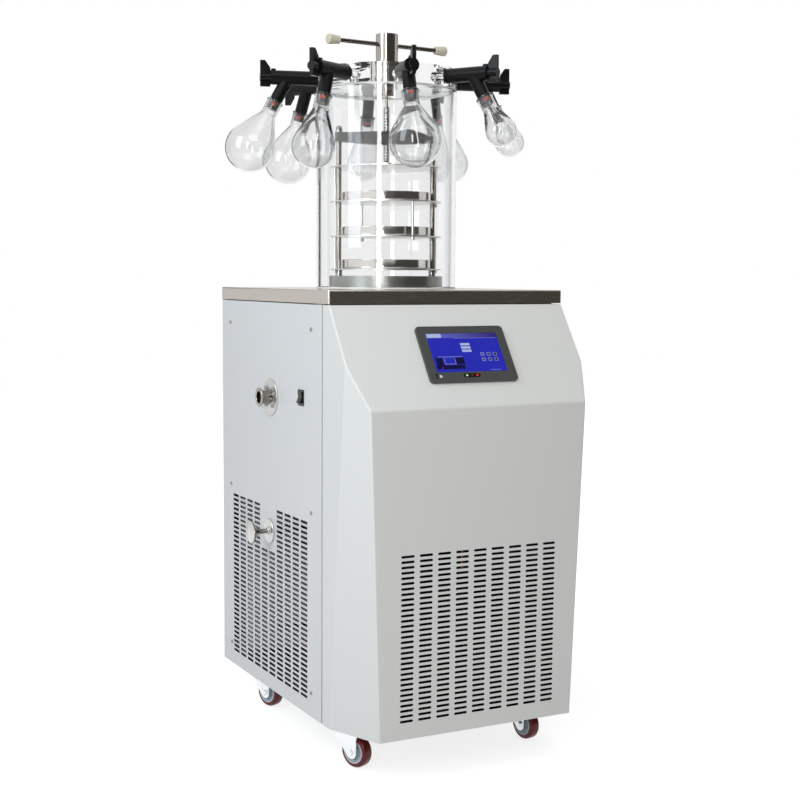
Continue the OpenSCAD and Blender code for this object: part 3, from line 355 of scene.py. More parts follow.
def solid_finish(name, colour, roughness, metallic=0.0, stretch=even, contrast=0.06, clouds=0.03,
                 spread=0.08, bump=0.12, depth=0.00004, edge=0.25, wear_and_sheen_colour=white, coat=0.0, specular=0.5):
    """Paint, metal, plastic or rubber, with its grain and its lifted edges, which are partly wear and partly
    painted highlight.
    """
    material, tree, shader = new_material(name, {
        "Metallic": metallic, "Specular IOR Level": specular, "Coat Weight": coat, "Coat Roughness": 0.08})
    worn = add_node(tree, "Group", {
        "Colour": colour, "Stretch": stretch, "Contrast": contrast, "Clouds": clouds,
        "Roughness": roughness, "Spread": spread}, node_tree=grain).outputs
    rim = add_node(tree, "Group", {"Colour": worn["Colour"], "Amount": edge, "Edge Colour": wear_and_sheen_colour},
                   node_tree=edges).outputs
    relief = add_node(tree, "Bump", {"Strength": bump, "Distance": depth, "Height": worn["Height"]}).outputs
    feed(tree, shader.inputs["Base Color"], rim["Colour"])
    feed(tree, shader.inputs["Roughness"], worn["Roughness"])
    feed(tree, shader.inputs["Normal"], relief["Normal"])
    return material


def metal(name, colour, roughness, run, contrast=0.06, clouds=0.03, **more):
    """A bare metal, with a grain that runs as its making left it."""
    return solid_finish(name, colour, roughness, 1, run, contrast, clouds, **more)


def count_finishes():
    print(len([material for material in bpy.data.materials if material.use_nodes]), "finishes so far")


# %% Paints and metals
cover_paint = solid_finish("cover_paint", rgb(226, 227, 224), 0.42, clouds=0.015, contrast=0.03, edge=0)
panel_paint = solid_finish("panel_paint", rgb(222, 223, 223), 0.42, clouds=0.015, contrast=0.03, edge=0)
bright_steel = metal("bright_steel", rgb(205, 202, 197), 0.17, rings_up, edge=0.2, bump=0.05)
worktop_steel = metal("worktop_steel", rgb(190, 184, 176), 0.26, along_x, 0.1, edge=0, bump=0.05)
shelf_steel = metal("shelf_steel", rgb(222, 221, 218), 0.3, along_x, 0.08, edge=0.1)
tray_steel = metal("tray_steel", rgb(214, 211, 206), 0.14, rings_up, edge=0.2, bump=0.05)
rod_steel = metal("rod_steel", rgb(152, 147, 139), 0.12, rings_up, edge=0, bump=0.03)
bar_steel = metal("bar_steel", rgb(54, 52, 50), 0.36, along_x, 0.12, edge=0.3, bump=0.05)
dark_rod = metal("dark_rod", rgb(112, 105, 98), 0.2, along_x, 0.04, edge=0, bump=0.02)
screw_steel = metal("screw_steel", rgb(88, 86, 84), 0.26, even, 0.06, edge=0.3, bump=0.02)
port_steel = metal("port_steel", rgb(132, 127, 120), 0.1, rings_left, 0.03, edge=0.1, bump=0)
# A darker copy of the steel for the drain knob's concave back and stem: painted shade.
knob_steel_in_shade = metal("knob_steel_in_shade", rgb(112, 108, 102), 0.12, rings_left, 0.03, edge=0.1, bump=0)
collar_steel = metal("collar_steel", rgb(142, 144, 138), 0.34, rings_up, edge=0.1, bump=0.03)
hub_steel = metal("hub_steel", rgb(164, 159, 151), 0.16, rings_up, edge=0.1, bump=0.03)
# Pale satin steel of the port's flange and the drain disc; on the drain knob's face and the thread's crests
# it is a painted highlight.
flange_steel_and_highlight = metal("flange_steel_and_highlight", rgb(196, 195, 194), 0.32, even, 0.03, edge=0, bump=0)
frame_steel = solid_finish("frame_steel", rgb(50, 51, 53), 0.6, 0.3)
fastener_steel = metal("fastener_steel", rgb(124, 124, 122), 0.2, even, edge=0.3)
zinc = metal("zinc", rgb(222, 226, 226), 0.26, spangle, 0.12, 0.08, edge=0.3)
copper = metal("copper", rgb(196, 128, 92), 0.28, spangle, 0.14, 0.2)
fin_aluminium = solid_finish("fin_aluminium", rgb(46, 47, 48), 0.6, 0.6, (900, 900, 30))
count_finishes()

# %% Plastics, rubber and the inner paint, a painted shade
valve_rubber = solid_finish("valve_rubber", rgb(9, 9, 10), 0.36, stretch=moulded, spread=0.16,
                            bump=0.2, edge=0.2, wear_and_sheen_colour=rgb(40, 40, 42), specular=0.14)
knob_plastic = solid_finish("knob_plastic", rgb(8, 8, 9), 0.26, stretch=moulded, spread=0.12,
                            edge=0.2, wear_and_sheen_colour=rgb(44, 44, 46), specular=0.16)
black_plastic = solid_finish("black_plastic", rgb(12, 12, 14), 0.26, edge=0.2,
                             wear_and_sheen_colour=rgb(46, 46, 48), specular=0.22)
black_paint = solid_finish("black_paint", rgb(22, 22, 24), 0.34, stretch=cast, edge=0.1, specular=0.2)
# A dark grey that stands for the shade inside the cabinet: painted shade on the inner faces of the sheets and
# on the walls of their slots.
inner_shade_paint = solid_finish("inner_shade_paint", rgb(40, 42, 45), 0.6, clouds=0.06, edge=0, specular=0.2)
bezel_plastic = solid_finish("bezel_plastic", rgb(50, 52, 50), 0.42, stretch=fine_even, bump=0.3,
                             edge=0.35, wear_and_sheen_colour=rgb(120, 124, 120))
ivory_plastic = solid_finish("ivory_plastic", rgb(208, 200, 174), 0.34, stretch=grain_of(160),
                             contrast=0.1, edge=0.2)
fan_plastic = solid_finish("fan_plastic", rgb(206, 208, 208), 0.45)
box_plastic = solid_finish("box_plastic", rgb(196, 198, 196), 0.5)
foam_skin = solid_finish("foam_skin", rgb(222, 206, 158), 0.8, stretch=grain_of(90), contrast=0.2, bump=0.5,
                         depth=0.0006, edge=0)
seal_rubber = solid_finish("seal_rubber", rgb(226, 226, 222), 0.4, edge=0)
tread_rubber = solid_finish("tread_rubber", rgb(96, 10, 10), 0.3, stretch=grain_of(300), contrast=0.14,
                            edge=0.3, wear_and_sheen_colour=rgb(160, 40, 38), coat=0.1, specular=0.3)
wheel_core = solid_finish("wheel_core", rgb(160, 174, 186), 0.34, stretch=cast, edge=0.5)
red_mark = solid_finish("red_mark", rgb(176, 74, 56), 0.5, stretch=fine_even, contrast=0.3, edge=0)
count_finishes()

# %% [markdown]
# ## Clear finishes
#
# Acrylic and glass are solid walls here, with an inner and an outer face, so the light bends as it does in
# the real ones. Their colour is almost white where one looks straight through and greyer where the wall turns
# away: partly the longer way through the wall, partly painted shade that draws the pale outlines that clear
# things have. Lamps would be stopped by a bending surface, so for their rays the wall is plainly transparent.

# %% Clear finishes
lamp_share = 0.9


def grey(level):
    return (level, level, level, 1)


def clear_finish(name, tint, grazing_shade_tint, ior, relief_depth, roughness=0.0, transmission=1.0):
    """Acrylic or glass. With no roughness it stays perfectly polished."""
    material, tree, shader = new_material(name, {
        "IOR": ior, "Transmission Weight": transmission, "Roughness": 0})
    # Greyer towards the grazing rim: partly the longer way through the wall, partly painted shade for the
    # outlines.
    turn = add_node(tree, "LayerWeight", {"Blend": 0.35})
    shade = add_node(tree, "Mix", {"Factor": turn.outputs["Facing"], "A": tint, "B": grazing_shade_tint},
                     data_type="RGBA")
    feed(tree, shader.inputs["Base Color"], shade.outputs["Result"])
    cloudy = add_node(tree, "Group", {"Roughness": roughness, "Spread": roughness * 0.5,
                                      "Stretch": grain_of(500)}, node_tree=grain).outputs
    if roughness:
        feed(tree, shader.inputs["Roughness"], cloudy["Roughness"])
    relief = add_node(tree, "Bump", {"Strength": 0.3, "Distance": relief_depth, "Height": cloudy["Height"]})
    feed(tree, shader.inputs["Normal"], relief.outputs["Normal"])
    open_way = add_node(tree, "BsdfTransparent", {"Color": grey(lamp_share)})
    path = add_node(tree, "LightPath")
    choice = add_node(tree, "MixShader", {
        0: path.outputs["Is Shadow Ray"], 1: shader.outputs["BSDF"], 2: open_way.outputs["BSDF"]})
    feed(tree, tree.nodes["Material Output"].inputs["Surface"], choice.outputs["Shader"])
    return material


acrylic = clear_finish("clear_acrylic", (0.955, 0.957, 0.957, 1), (0.82, 0.84, 0.86, 1), 1.49, 0.000002)
flask_glass = clear_finish("flask_glass", (0.91, 0.912, 0.912, 1), (0.64, 0.65, 0.65, 1), 1.47, 0.00001)
ground_glass = clear_finish("ground_glass", grey(0.86), grey(0.6), 1.47, 0.00002, 0.2, 0.94)
count_finishes()

# %% [markdown]
# ## Tools for shapes
#
# Four helpers do most of the work. `make_piece` turns a finished bmesh into an object that rides
# on a body. `soften` adds a bevel to its sharp edges, since nothing real ends in a razor edge and
# the small round catches the light. `lathe` spins an outline into a turned or blown shape. `refine`
# takes a solid that already has the right form, joins its loose triangles, and rounds its edges.
# `round_off` does for a single fold or corner of a bmesh what `soften` does for a whole piece.

# %% Pieces and bevels
made = []
same_plane = math.radians(0.5)


def make_piece(name, bm, material, body, slot, *nodes, sharp=35):
    """Makes an object of a bmesh, which rides on a body and stands for the named solids."""
    piece = mesh_object(name, bm, material)
    piece.data.shade_smooth()
    piece.data.set_sharp_from_angle(angle=math.radians(sharp))
    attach(piece, body)
    if nodes:
        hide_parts(*nodes)
    made.append(piece)
    return piece


def soften(piece, width, segments=3, angle=30):
    """Rounds the edges of a piece that turn by more than angle."""
    bevel = piece.modifiers.new("round_edges", "BEVEL")
    bevel.width = width
    bevel.segments = segments
    bevel.limit_method = "ANGLE"
    bevel.angle_limit = math.radians(angle)
    bevel.harden_normals = True
    return piece


def crisp_borders(piece, *flats):
    """Ends the smooth shading at cut edges, and at the flat faces that look along the given directions."""
    bm = bmesh.new()
    bm.from_mesh(piece.data)
    for edge in bm.edges:
        if edge.is_boundary:
            edge.smooth = False
        elif len(edge.link_faces) == 2 and edge.calc_face_angle() > same_plane:
            if any(face.normal.dot(flat) > 0.99999 for face in edge.link_faces for flat in flats):
                edge.smooth = False
    bm.to_mesh(piece.data)
    bm.free()


def refinish(piece, material, chosen):
    """Gives another finish to the faces whose centre is chosen."""
    piece.data.materials.append(material)
    for face in piece.data.polygons:
        if chosen(face.center):
            face.material_index = len(piece.data.materials) - 1


def make_sheet(piece, thickness, inside):
    """Gives a folded face its thickness, and another finish on its inner side and on the walls of its edges
    and slots, which for the painted sheets is a dark painted shade.
    """
    piece.data.materials.append(inside)
    wall = piece.modifiers.new("sheet", "SOLIDIFY")
    wall.thickness = thickness
    wall.offset = -1
    wall.material_offset = wall.material_offset_rim = 1
    return piece


# %% Picking and rounding parts of a bmesh
def everything(bm):
    return bm.verts[:] + bm.edges[:] + bm.faces[:]


def with_borders(faces):
    """Some faces with their edges and corners."""
    return faces + list({e for f in faces for e in f.edges}) + list({v for f in faces for v in f.verts})


def verts_in(geom):
    return [part for part in geom if isinstance(part, bmesh.types.BMVert)]


def edges_in(geom):
    return [part for part in geom if isinstance(part, bmesh.types.BMEdge)]


def uprights(bm, axis_index, least):
    """The edges that run along one axis for more than a least length."""
    return [e for e in bm.edges if abs(e.verts[0].co[axis_index] - e.verts[1].co[axis_index]) > least]


def fold_edges(bm, least=8):
    """The edges where two faces meet at more than a least angle, in degrees."""
    return [e for e in bm.edges if len(e.link_faces) == 2 and e.calc_face_angle() > math.radians(least)]


def largest(bm):
    return max(bm.faces, key=lambda face: face.calc_area())


def round_off(bm, geom, radius, segments=4, affect="EDGES"):
    """Rounds the given edges, or the given corners of a flat face."""
    bmesh.ops.bevel(bm, geom=geom, offset=radius, offset_type="OFFSET", segments=segments, profile=0.5,
                    affect=affect, material=-1)


def face_outwards(bm, way):
    """Turns an open sheet so that its largest face looks along way."""
    bmesh.ops.recalc_face_normals(bm, faces=bm.faces)
    if largest(bm).normal.dot(way) < 0:
        bmesh.ops.reverse_faces(bm, faces=bm.faces)


def tidy_normals(bm):
    """Joins doubles and turns every face outwards, after a spin or a mirror."""
    bmesh.ops.remove_doubles(bm, verts=bm.verts, dist=1e-6)
    bmesh.ops.recalc_face_normals(bm, faces=bm.faces)
    return bm


# %% Lathe
def lathe(outline, steps=72, place=Matrix.Identity(4)):
    """Spins (radius, height) points round Z. An outline that starts and ends on Z stays open there."""
    bm = bmesh.new()
    verts = [bm.verts.new((radius, 0, height)) for radius, height in outline]
    rim = [bm.edges.new(pair) for pair in zip(verts, verts[1:])]
    if outline[0][0] > 0 or outline[-1][0] > 0:
        rim.append(bm.edges.new((verts[-1], verts[0])))
    bmesh.ops.spin(bm, geom=verts + rim, cent=(0, 0, 0), axis=(0, 0, 1), dvec=(0, 0, 0),
                   angle=math.tau, steps=steps, use_merge=True)
    tidy_normals(bm)
    bm.transform(place)
    return bm


def arc(centre, radius, start, end, count):
    """Points of (radius, height) along an arc, with its angles in degrees."""
    angles = [math.radians(start + (end - start) * n / count) for n in range(count + 1)]
    return [(centre[0] + radius * math.cos(a), centre[1] + radius * math.sin(a)) for a in angles]


# %% Refine
def refine(name, node, material, body, slot, width, segments=3, angle=30):
    """A copy of a solid with its triangles joined and its edges rounded."""
    bm = bmesh.new()
    bm.from_mesh(frame["nodes"][node].data)
    bmesh.ops.remove_doubles(bm, verts=bm.verts, dist=2e-6)
    bmesh.ops.dissolve_limit(bm, angle_limit=same_plane, verts=bm.verts, edges=bm.edges)
    return soften(make_piece(name, bm, material, body, slot, node), width, segments, angle)


def dress(material, *nodes):
    """Gives a finish to solids that keep their own shape."""
    for node in nodes:
        for slot in frame["nodes"][node].material_slots:
            slot.material = material


# %% [markdown]
# ## Slotted grilles
#
# The cabinet breathes through hundreds of punched slots. A slot could be a boolean cut each, but
# a flat sheet can be scored instead: planes cut the face into a lattice, the corners of the cells
# that will be slots are rounded by a vertex bevel, and those cells are then deleted. The sheet
# stays one clean surface, and a Solidify modifier gives it its thickness, slot walls included.

# %% Piercing a sheet
def slot_lines(count, pitch, size):
    """The lines that bound the slots one way, with a margin line at each end."""
    margin = (pitch - size) / 2
    lines = [n * pitch + side * size / 2 for n in range(count) for side in (-1, 1)]
    return [lines[0] - margin, *lines, lines[-1] + margin]


def pierce(bm, plane, columns, rows, pitch, slot, blank=lambda column, row: False):
    """Cuts round-ended slots into the face on a plane, whose origin is the top row's middle."""
    bm.transform(plane.inverted())
    middle = (columns - 1) / 2 * pitch[0]
    across = [line - middle for line in slot_lines(columns, pitch[0], slot[0])]
    upwards = [-line for line in reversed(slot_lines(rows, pitch[1], slot[1]))]

    def on_sheet(face):
        return abs(face.normal.z) > 0.999 and abs(face.calc_center_bounds().z) < 1e-5

    def in_grille(face):
        spot = face.calc_center_bounds()
        return on_sheet(face) and across[0] < spot.x < across[-1] and upwards[0] < spot.y < upwards[-1]

    def score(faces, both_ways):
        geom = with_borders(faces)
        for way, lines in enumerate(both_ways):
            for line in lines:
                point, normal = Vector((0, 0, 0)), Vector((0, 0, 0))
                point[way], normal[way] = line, 1
                geom = bmesh.ops.bisect_plane(bm, geom=geom, dist=1e-6, plane_co=point,
                                              plane_no=normal)["geom"]

    def is_slot(face):
        spot = face.calc_center_bounds()
        column, row = (spot.x + middle) / pitch[0], -spot.y / pitch[1]
        off = max(abs(column - round(column)), abs(row - round(row)))
        return off < 0.1 and not blank(round(column), round(row))

    def cells():
        return [face for face in bm.faces if in_grille(face) and is_slot(face)]

    outline = (across[0], across[-1]), (upwards[0], upwards[-1])
    score([face for face in bm.faces if on_sheet(face)], outline)
    score([face for face in bm.faces if in_grille(face)], (across[1:-1], upwards[1:-1]))
    corners = list({v for f in cells() for v in f.verts})
    round_off(bm, corners, slot[1] * 0.47, 3, "VERTICES")
    holes = cells()
    bmesh.ops.delete(bm, geom=holes, context="FACES")
    bm.transform(plane)
    print(len(holes), "slots,", len(bm.faces), "faces")


# %% [markdown]
# ## Front cover
#
# The cover is one folded sheet. It rises straight, leans back under the touch screen, and its two
# front corners are cut off by long narrow facets that taper from the floor up to a point on the
# slope. A block that is cut by the same planes gives exactly those faces, the open sides are then
# taken away, the folds are rounded, and the sheet gets its thickness inwards.

# %% The cover's planes
cover_low, cover_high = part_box("front_cover")
half_width = (cover_high.x - cover_low.x) / 2
panel_top, skirt = cover_high.z, cover_low.z
nose = axis.y - cover_low.y
slope_top, nose_height, chin = 0.282, 0.730, 0.410
facet_height, facet_nose, facet_chin = 0.811, 0.0255, 0.049
sheet, gap = 0.0008, 0.002
fold_radius, lip_depth = 0.003, 0.012
slope_normal = Vector((0, nose_height - panel_top, nose - slope_top)).normalized()
front_normal = Vector((0, skirt - nose_height, chin - nose)).normalized()
slope_lean = (nose - slope_top) / (panel_top - nose_height)
facet_top = Vector((half_width, -slope_top - (panel_top - facet_height) * slope_lean, facet_height))
facet_fold = Vector((half_width - facet_nose, -nose, nose_height))
facet_foot = Vector((half_width - facet_chin, -chin, skirt))
facet_normal = (facet_fold - facet_top).cross(facet_foot - facet_top).normalized()
print("slope leans", round(math.degrees(math.atan(slope_lean)), 2), "degrees")


def trim(bm, point, normal):
    """Cuts off what lies beyond a plane, and closes the cut."""
    cut = bmesh.ops.bisect_plane(bm, geom=everything(bm), dist=1e-7, plane_co=point, plane_no=normal,
                                 clear_outer=True)["geom_cut"]
    bmesh.ops.edgeloop_fill(bm, edges=edges_in(cut))


def block(low, high):
    """A bmesh box between two corners."""
    bm = bmesh.new()
    middle, size = (low + high) / 2, high - low
    bmesh.ops.create_cube(bm, size=1, matrix=Matrix.Translation(middle) @ Matrix.Diagonal((*size, 1)))
    return bm


# %% Fold the cover
cover_back = cover_high.y - axis.y
mirrors = [Vector((side, 1, 1)) for side in (1, -1)]
bm = block(Vector((-half_width, -nose, skirt)), Vector((half_width, cover_back, panel_top)))
trim(bm, (0, 0, panel_top - gap), (0, 0, 1))
trim(bm, (0, -slope_top, panel_top), slope_normal)
trim(bm, (0, -chin, skirt), front_normal)
for mirror in mirrors:
    trim(bm, facet_top * mirror, facet_normal * mirror)
open_sides = [f for f in bm.faces if f.normal.y > 0.9 or abs(f.normal.z) > 0.99]
bmesh.ops.delete(bm, geom=open_sides, context="FACES")
round_off(bm, fold_edges(bm), fold_radius)

# %% Pierce the cover
front_columns, front_rows = 9, 32
grille_top, front_pitch, front_slot = 0.451, (0.0396, 0.0103), (0.0284, 0.005)
grille_y = -nose + (nose - chin) * (nose_height - grille_top) / (nose_height - skirt)
grille_place = frame_at(Vector((0, grille_y, grille_top)), front_normal)
pierce(bm, grille_place, front_columns, front_rows, front_pitch, front_slot)


# %% Turn the cover's rear edges in
def at_back(vert):
    return abs(vert.co.y - cover_back) < 1e-5


rear_edges = [e for e in bm.edges if e.is_boundary and all(at_back(v) for v in e.verts)]
for vert in verts_in(bmesh.ops.extrude_edge_only(bm, edges=rear_edges)["geom"]):
    vert.co.x -= math.copysign(lip_depth, vert.co.x)
round_off(bm, [e for e in fold_edges(bm, 60) if at_back(e.verts[0])], fold_radius, 3)
bmesh.ops.recalc_face_normals(bm, faces=bm.faces)
bm.transform(Matrix.Translation(axis))
cover = make_piece("folded_cover", bm, cover_paint, "root", "cover_paint", "front_cover", sharp=24)
crisp_borders(cover, slope_normal, front_normal, right, -right, up, *(facet_normal * m for m in mirrors))
# Its inner side and its slot walls take the dark inner paint, a painted shade that keeps the slots dark.
make_sheet(cover, sheet, inner_shade_paint)
print("cover of", len(cover.data.polygons), "faces")

# %% [markdown]
# ## Side panels
#
# Each side is a flat sheet whose front and rear edges are folded inwards. The left one carries the
# grille, the vacuum port, the drain valve and the switch. Its grille leaves a blank field beside
# the valve, where there is a label on such a machine, and that field is bare here.

# %% Fold the side panels
def scaled(width, height):
    """The matrix that stretches a unit square to a width and a height."""
    return Matrix.Diagonal((width, height, 1, 1))


panel_low, panel_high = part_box("left_panel")
seam = 0.003
depth, height = panel_high.y - panel_low.y - seam, panel_high.z - panel_low.z - gap
side_columns, side_rows, label_columns, label_rows = 10, 35, (4, 5), 9
side_pitch, side_slot, side_grille_y, side_grille_top = (0.0424, 0.01045), (0.0335, 0.0056), 0.025, 0.486


def side_panel(side):
    """One side sheet. Its own X runs along the machine, its Y upwards and its Z outwards."""
    middle = (panel_low.y + seam + panel_high.y) / 2 - axis.y
    place = frame_at(Vector((side * half_width, middle, panel_low.z + height / 2)), right * side)
    bm = bmesh.new()
    bmesh.ops.create_grid(bm, x_segments=1, y_segments=1, size=0.5, matrix=scaled(depth, height))
    lip = bmesh.ops.extrude_edge_only(bm, edges=uprights(bm, 1, height / 2))["geom"]
    bmesh.ops.translate(bm, vec=(0, 0, -lip_depth), verts=verts_in(lip))
    round_off(bm, fold_edges(bm), fold_radius)
    face_outwards(bm, up)
    bm.transform(place)
    # The front lip takes the second finish, the dark inner paint: a painted shadow along the seam with the
    # cover.
    for face in bm.faces:
        face.material_index = 1 if face.normal.y < -0.8 else 0
    return bm


left = side_panel(-1)
grille_place = frame_at(Vector((-half_width, side_grille_y, side_grille_top)), -right)
pierce(left, grille_place, side_columns, side_rows, side_pitch, side_slot,
       blank=lambda column, row: column in label_columns and row < label_rows)
for name, bm, node in (("left_side", left, "left_panel"), ("right_side", side_panel(1), "right_panel")):
    bm.transform(Matrix.Translation(axis))
    panel = make_piece(name, bm, panel_paint, "root", "panel_paint", node, sharp=24)
    crisp_borders(panel, right, -right)
    # Its inner side and its slot walls take the dark inner paint, a painted shade that keeps the slots dark.
    make_sheet(panel, sheet, inner_shade_paint)
dress(panel_paint, "rear_panel")
dress(fastener_steel, "fasteners")

# %% [markdown]
# ## Worktop
#
# The worktop is a shallow pan of brushed stainless sheet, turned upside down, with the mouth of
# the cold trap in it. Its corners and its upper fold are rounded before the sheet gets thick.

# %% Fold the worktop
work_low, work_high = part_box("worktop")
mouth, work_sheet, corner_radius, edge_radius = 0.095, 0.002, 0.004, 0.0025
bm = block(work_low - axis, work_high - axis)
bmesh.ops.delete(bm, geom=[f for f in bm.faces if f.normal.z < -0.9], context="FACES")
round_off(bm, uprights(bm, 2, 0.01), corner_radius)
top_edges = [e for e in fold_edges(bm, 60) if min(v.co.z for v in e.verts) > work_high.z - 1e-5]
round_off(bm, top_edges, edge_radius)
print("worktop of", len(bm.faces), "faces before its mouth")

# %% Open the mouth of the cold trap
top = largest(bm)
rim = top.edges[:]
bmesh.ops.delete(bm, geom=[top], context="FACES_ONLY")
hole = bmesh.ops.create_circle(bm, radius=mouth, segments=72, matrix=Matrix.Translation(up * work_high.z))
rim += list({e for v in hole["verts"] for e in v.link_edges})
bmesh.ops.triangle_fill(bm, use_beauty=True, edges=rim)
face_outwards(bm, up)
bm.transform(Matrix.Translation(axis))
worktop = make_piece("folded_worktop", bm, worktop_steel, "root", "worktop_steel", "worktop", sharp=24)
crisp_borders(worktop, up, -back, -right)
make_sheet(worktop, work_sheet, worktop_steel)
print("cabinet made,", sum(len(p.data.polygons) for p in made), "faces before thickness")

# %% [markdown]
# ## Fittings of the left side
#
# The vacuum port is a polished tube through a round wall flange, with a thin tapered ring at its
# end that a clamp closes on. The drain valve is a mushroom knob on a stem. Both are turned parts,
# so each is an outline that is spun round its own axis. The outlines give radius and height in
# millimetres, which is how a drawing would give them.

# %% Turned fittings
def millimetres(*points):
    """Points of (radius, height) in metres, from millimetres."""
    return [(radius / 1000, height / 1000) for radius, height in points]


port_y, port_height, port_thick = 0.008, 0.725, 0.0032
port_place = frame_at(Vector((panel_x, axis.y + port_y, port_height)), -right)
port_outline = millimetres(
    (13, -170), (14.5, -170), (14.5, -1.4), (15.4, -0.2), (38.2, 0), (39, 0.6), (39, 2.3), (38.4, 3),
    (16.4, 3), (15, 3.5), (14.5, 4.6), (14.5, 21.4), (15.2, 22.2), (19.6, 24.6), (20, 25.2), (20, 27.3),
    (19.4, 28), (13.7, 28), (13, 27.4))
turned_port = make_piece("turned_port", lathe(port_outline, 96, port_place), port_steel, "root",
                         "port_steel", "vacuum_port", sharp=25)
refinish(turned_port, flange_steel_and_highlight, lambda spot: panel_x - port_thick < spot.x < panel_x)
print("port at", port_height, "m")

# %% Drain valve
drain_y, drain_height, knob_face = 0.015, 0.439, 0.0445
drain_place = frame_at(Vector((panel_x, axis.y + drain_y, drain_height)), -right)
disc_outline = millimetres(
    (5.3, -40), (10, -40), (10, -0.1), (25.2, 0), (26, 0.7), (26, 3.1), (25.2, 4), (8.8, 4), (8, 4.7),
    (8, 7.2), (7.3, 8), (5.3, 8))
make_piece("drain_disc", lathe(disc_outline, 96, drain_place), flange_steel_and_highlight, "root", "port_steel",
           "drain_fitting", sharp=25)
knob_outline = millimetres(
    (0, -10), (5, -10), (5, 25.6), (5.6, 27), (8.6, 29.6), (12.4, 33.4), (17, 37.8), (21.6, 40.6),
    (23.4, 41.2), (24, 42.2), (24, 43.6), (23.5, 44.5), (22.4, 45), (0, 45))
mushroom = make_piece("mushroom_knob", lathe(knob_outline, 96, drain_place), knob_steel_in_shade, "drain_handle",
                      "port_steel", "drain_knob", sharp=25)
# The knob's outer face takes the pale steel and the rest the dark knob steel: a painted highlight on the
# face, and painted shade on the back.
refinish(mushroom, flange_steel_and_highlight, lambda spot: spot.x < panel_x - knob_face)
print("drain valve at", drain_height, "m")

# %% Switch and screws
refine("switch_frame", "switch_housing", black_plastic, "root", "black_plastic", 0.0008)
refine("rocker_key", "switch_rocker", black_plastic, "rocker", "black_plastic", 0.0007)
refine("machine_screws", "fasteners", fastener_steel, "root", "bright_steel", 0.0004, 2)
print(len(made), "pieces so far")

# %% [markdown]
# ## Touch screen
#
# A dark moulded frame stands proud of the sloping panel, with rounded corners and a shallow
# recess. The display in it is a lit sheet with a few flat fields on it: a bar along the top, three
# buttons, a plain diagram of the machine and six symbols. None of them says anything. A small
# black strip lower down carries three lamps.

# %% Screen frame
slope = frame_at(at_axis(0, -slope_top, panel_top), slope_normal)
screen_place = slope @ Matrix.Translation((0, -0.1195, 0))
frame_w, frame_h, frame_corner, proud, recess = 0.196, 0.126, 0.008, 0.006, 0.003
glass_w, glass_h, glass_corner, glass_up = 0.159, 0.088, 0.003, 0.003


def rounded_plate(width, height, thickness, radius, centre=(0, 0, 0), segments=6):
    """A flat plate with round corners. Its centre is the middle of its foot."""
    middle = Vector(centre)
    half = Vector((width / 2, height / 2, 0))
    bm = block(middle - half, middle + half + up * thickness)
    round_off(bm, uprights(bm, 2, thickness * 0.5), radius, segments)
    return bm


def highest(bm):
    """The upper one of the level faces."""
    flat = [face for face in bm.faces if abs(face.normal.z) > 0.9]
    return max(flat, key=lambda face: face.calc_center_median().z)


def take_out(bm, face):
    """Deletes a face and returns the edges of the hole."""
    hole = face.edges[:]
    bmesh.ops.delete(bm, geom=[face], context="FACES_ONLY")
    return hole


bm = rounded_plate(frame_w, frame_h, proud, frame_corner)
outer_rim = take_out(bm, highest(bm))
window_place = Matrix.Translation((0, glass_up, proud)) @ scaled(glass_w, glass_h)
window = bmesh.ops.create_grid(bm, x_segments=1, y_segments=1, size=0.5, matrix=window_place)
round_off(bm, window["verts"], glass_corner, 4, "VERTICES")
bmesh.ops.triangle_fill(bm, use_beauty=True, edges=outer_rim + take_out(bm, highest(bm)))
wall = bmesh.ops.extrude_edge_only(bm, edges=[e for e in bm.edges if e.is_boundary])["geom"]
bmesh.ops.translate(bm, vec=-up * recess, verts=verts_in(wall))
bmesh.ops.edgeloop_fill(bm, edges=[e for e in edges_in(wall) if e.is_boundary])
tidy_normals(bm)
bm.transform(screen_place)
screen_frame = make_piece("screen_frame", bm, bezel_plastic, "root", "bezel_plastic", "hmi_bezel", sharp=30)
soften(screen_frame, 0.0012, 3, 40)
print("screen frame stands", proud * 1000, "mm proud")


# %% Display
def glowing(name, colour, strength=1.0):
    """A lit field under gloss glass. It gives its own colour, and mirrors the room a little."""
    material = solid_finish(name, (0.004, 0.004, 0.005, 1), 0.12, contrast=0, clouds=0, spread=0.02, bump=0,
                            edge=0, specular=0.1)
    shader = material.node_tree.nodes["Principled BSDF"]
    shader.inputs["Emission Color"].default_value = colour
    shader.inputs["Emission Strength"].default_value = strength
    return material


def across_display(material, left_colour, right_colour):
    """Lets a lit field's colour run from left to right."""
    tree = material.node_tree
    split = add_node(tree, "SeparateXYZ", {"Vector": add_node(tree, "TexCoord").outputs["Object"]})
    share = add_node(tree, "MapRange", {
        "Value": split.outputs["X"], "From Min": axis.x - glass_w / 2, "From Max": axis.x + glass_w / 2})
    mix = add_node(tree, "Mix", {"Factor": share.outputs["Result"], "A": left_colour, "B": right_colour},
                   data_type="RGBA")
    feed(tree, tree.nodes["Principled BSDF"].inputs["Emission Color"], mix.outputs["Result"])
    return material


display_blue = glowing("display_blue", rgb(38, 42, 172))
header_violet = across_display(glowing("header_violet", rgb(90, 90, 190)), rgb(96, 104, 196),
                               rgb(46, 34, 112))
pale_field = glowing("pale_field", rgb(168, 178, 214))
dim_field = glowing("dim_field", rgb(120, 122, 190))
dark_field = glowing("dark_field", rgb(16, 16, 60))
violet_lamp = glowing("violet_lamp", rgb(170, 60, 200))
dress(display_blue, "hmi_glass")
print("display of", glass_w * 1000, "by", glass_h * 1000, "mm")

# %% Fields on the display
display_top, field_thick, layer_step, field_corner = proud - 0.001, 0.00014, 0.00012, 0.0008


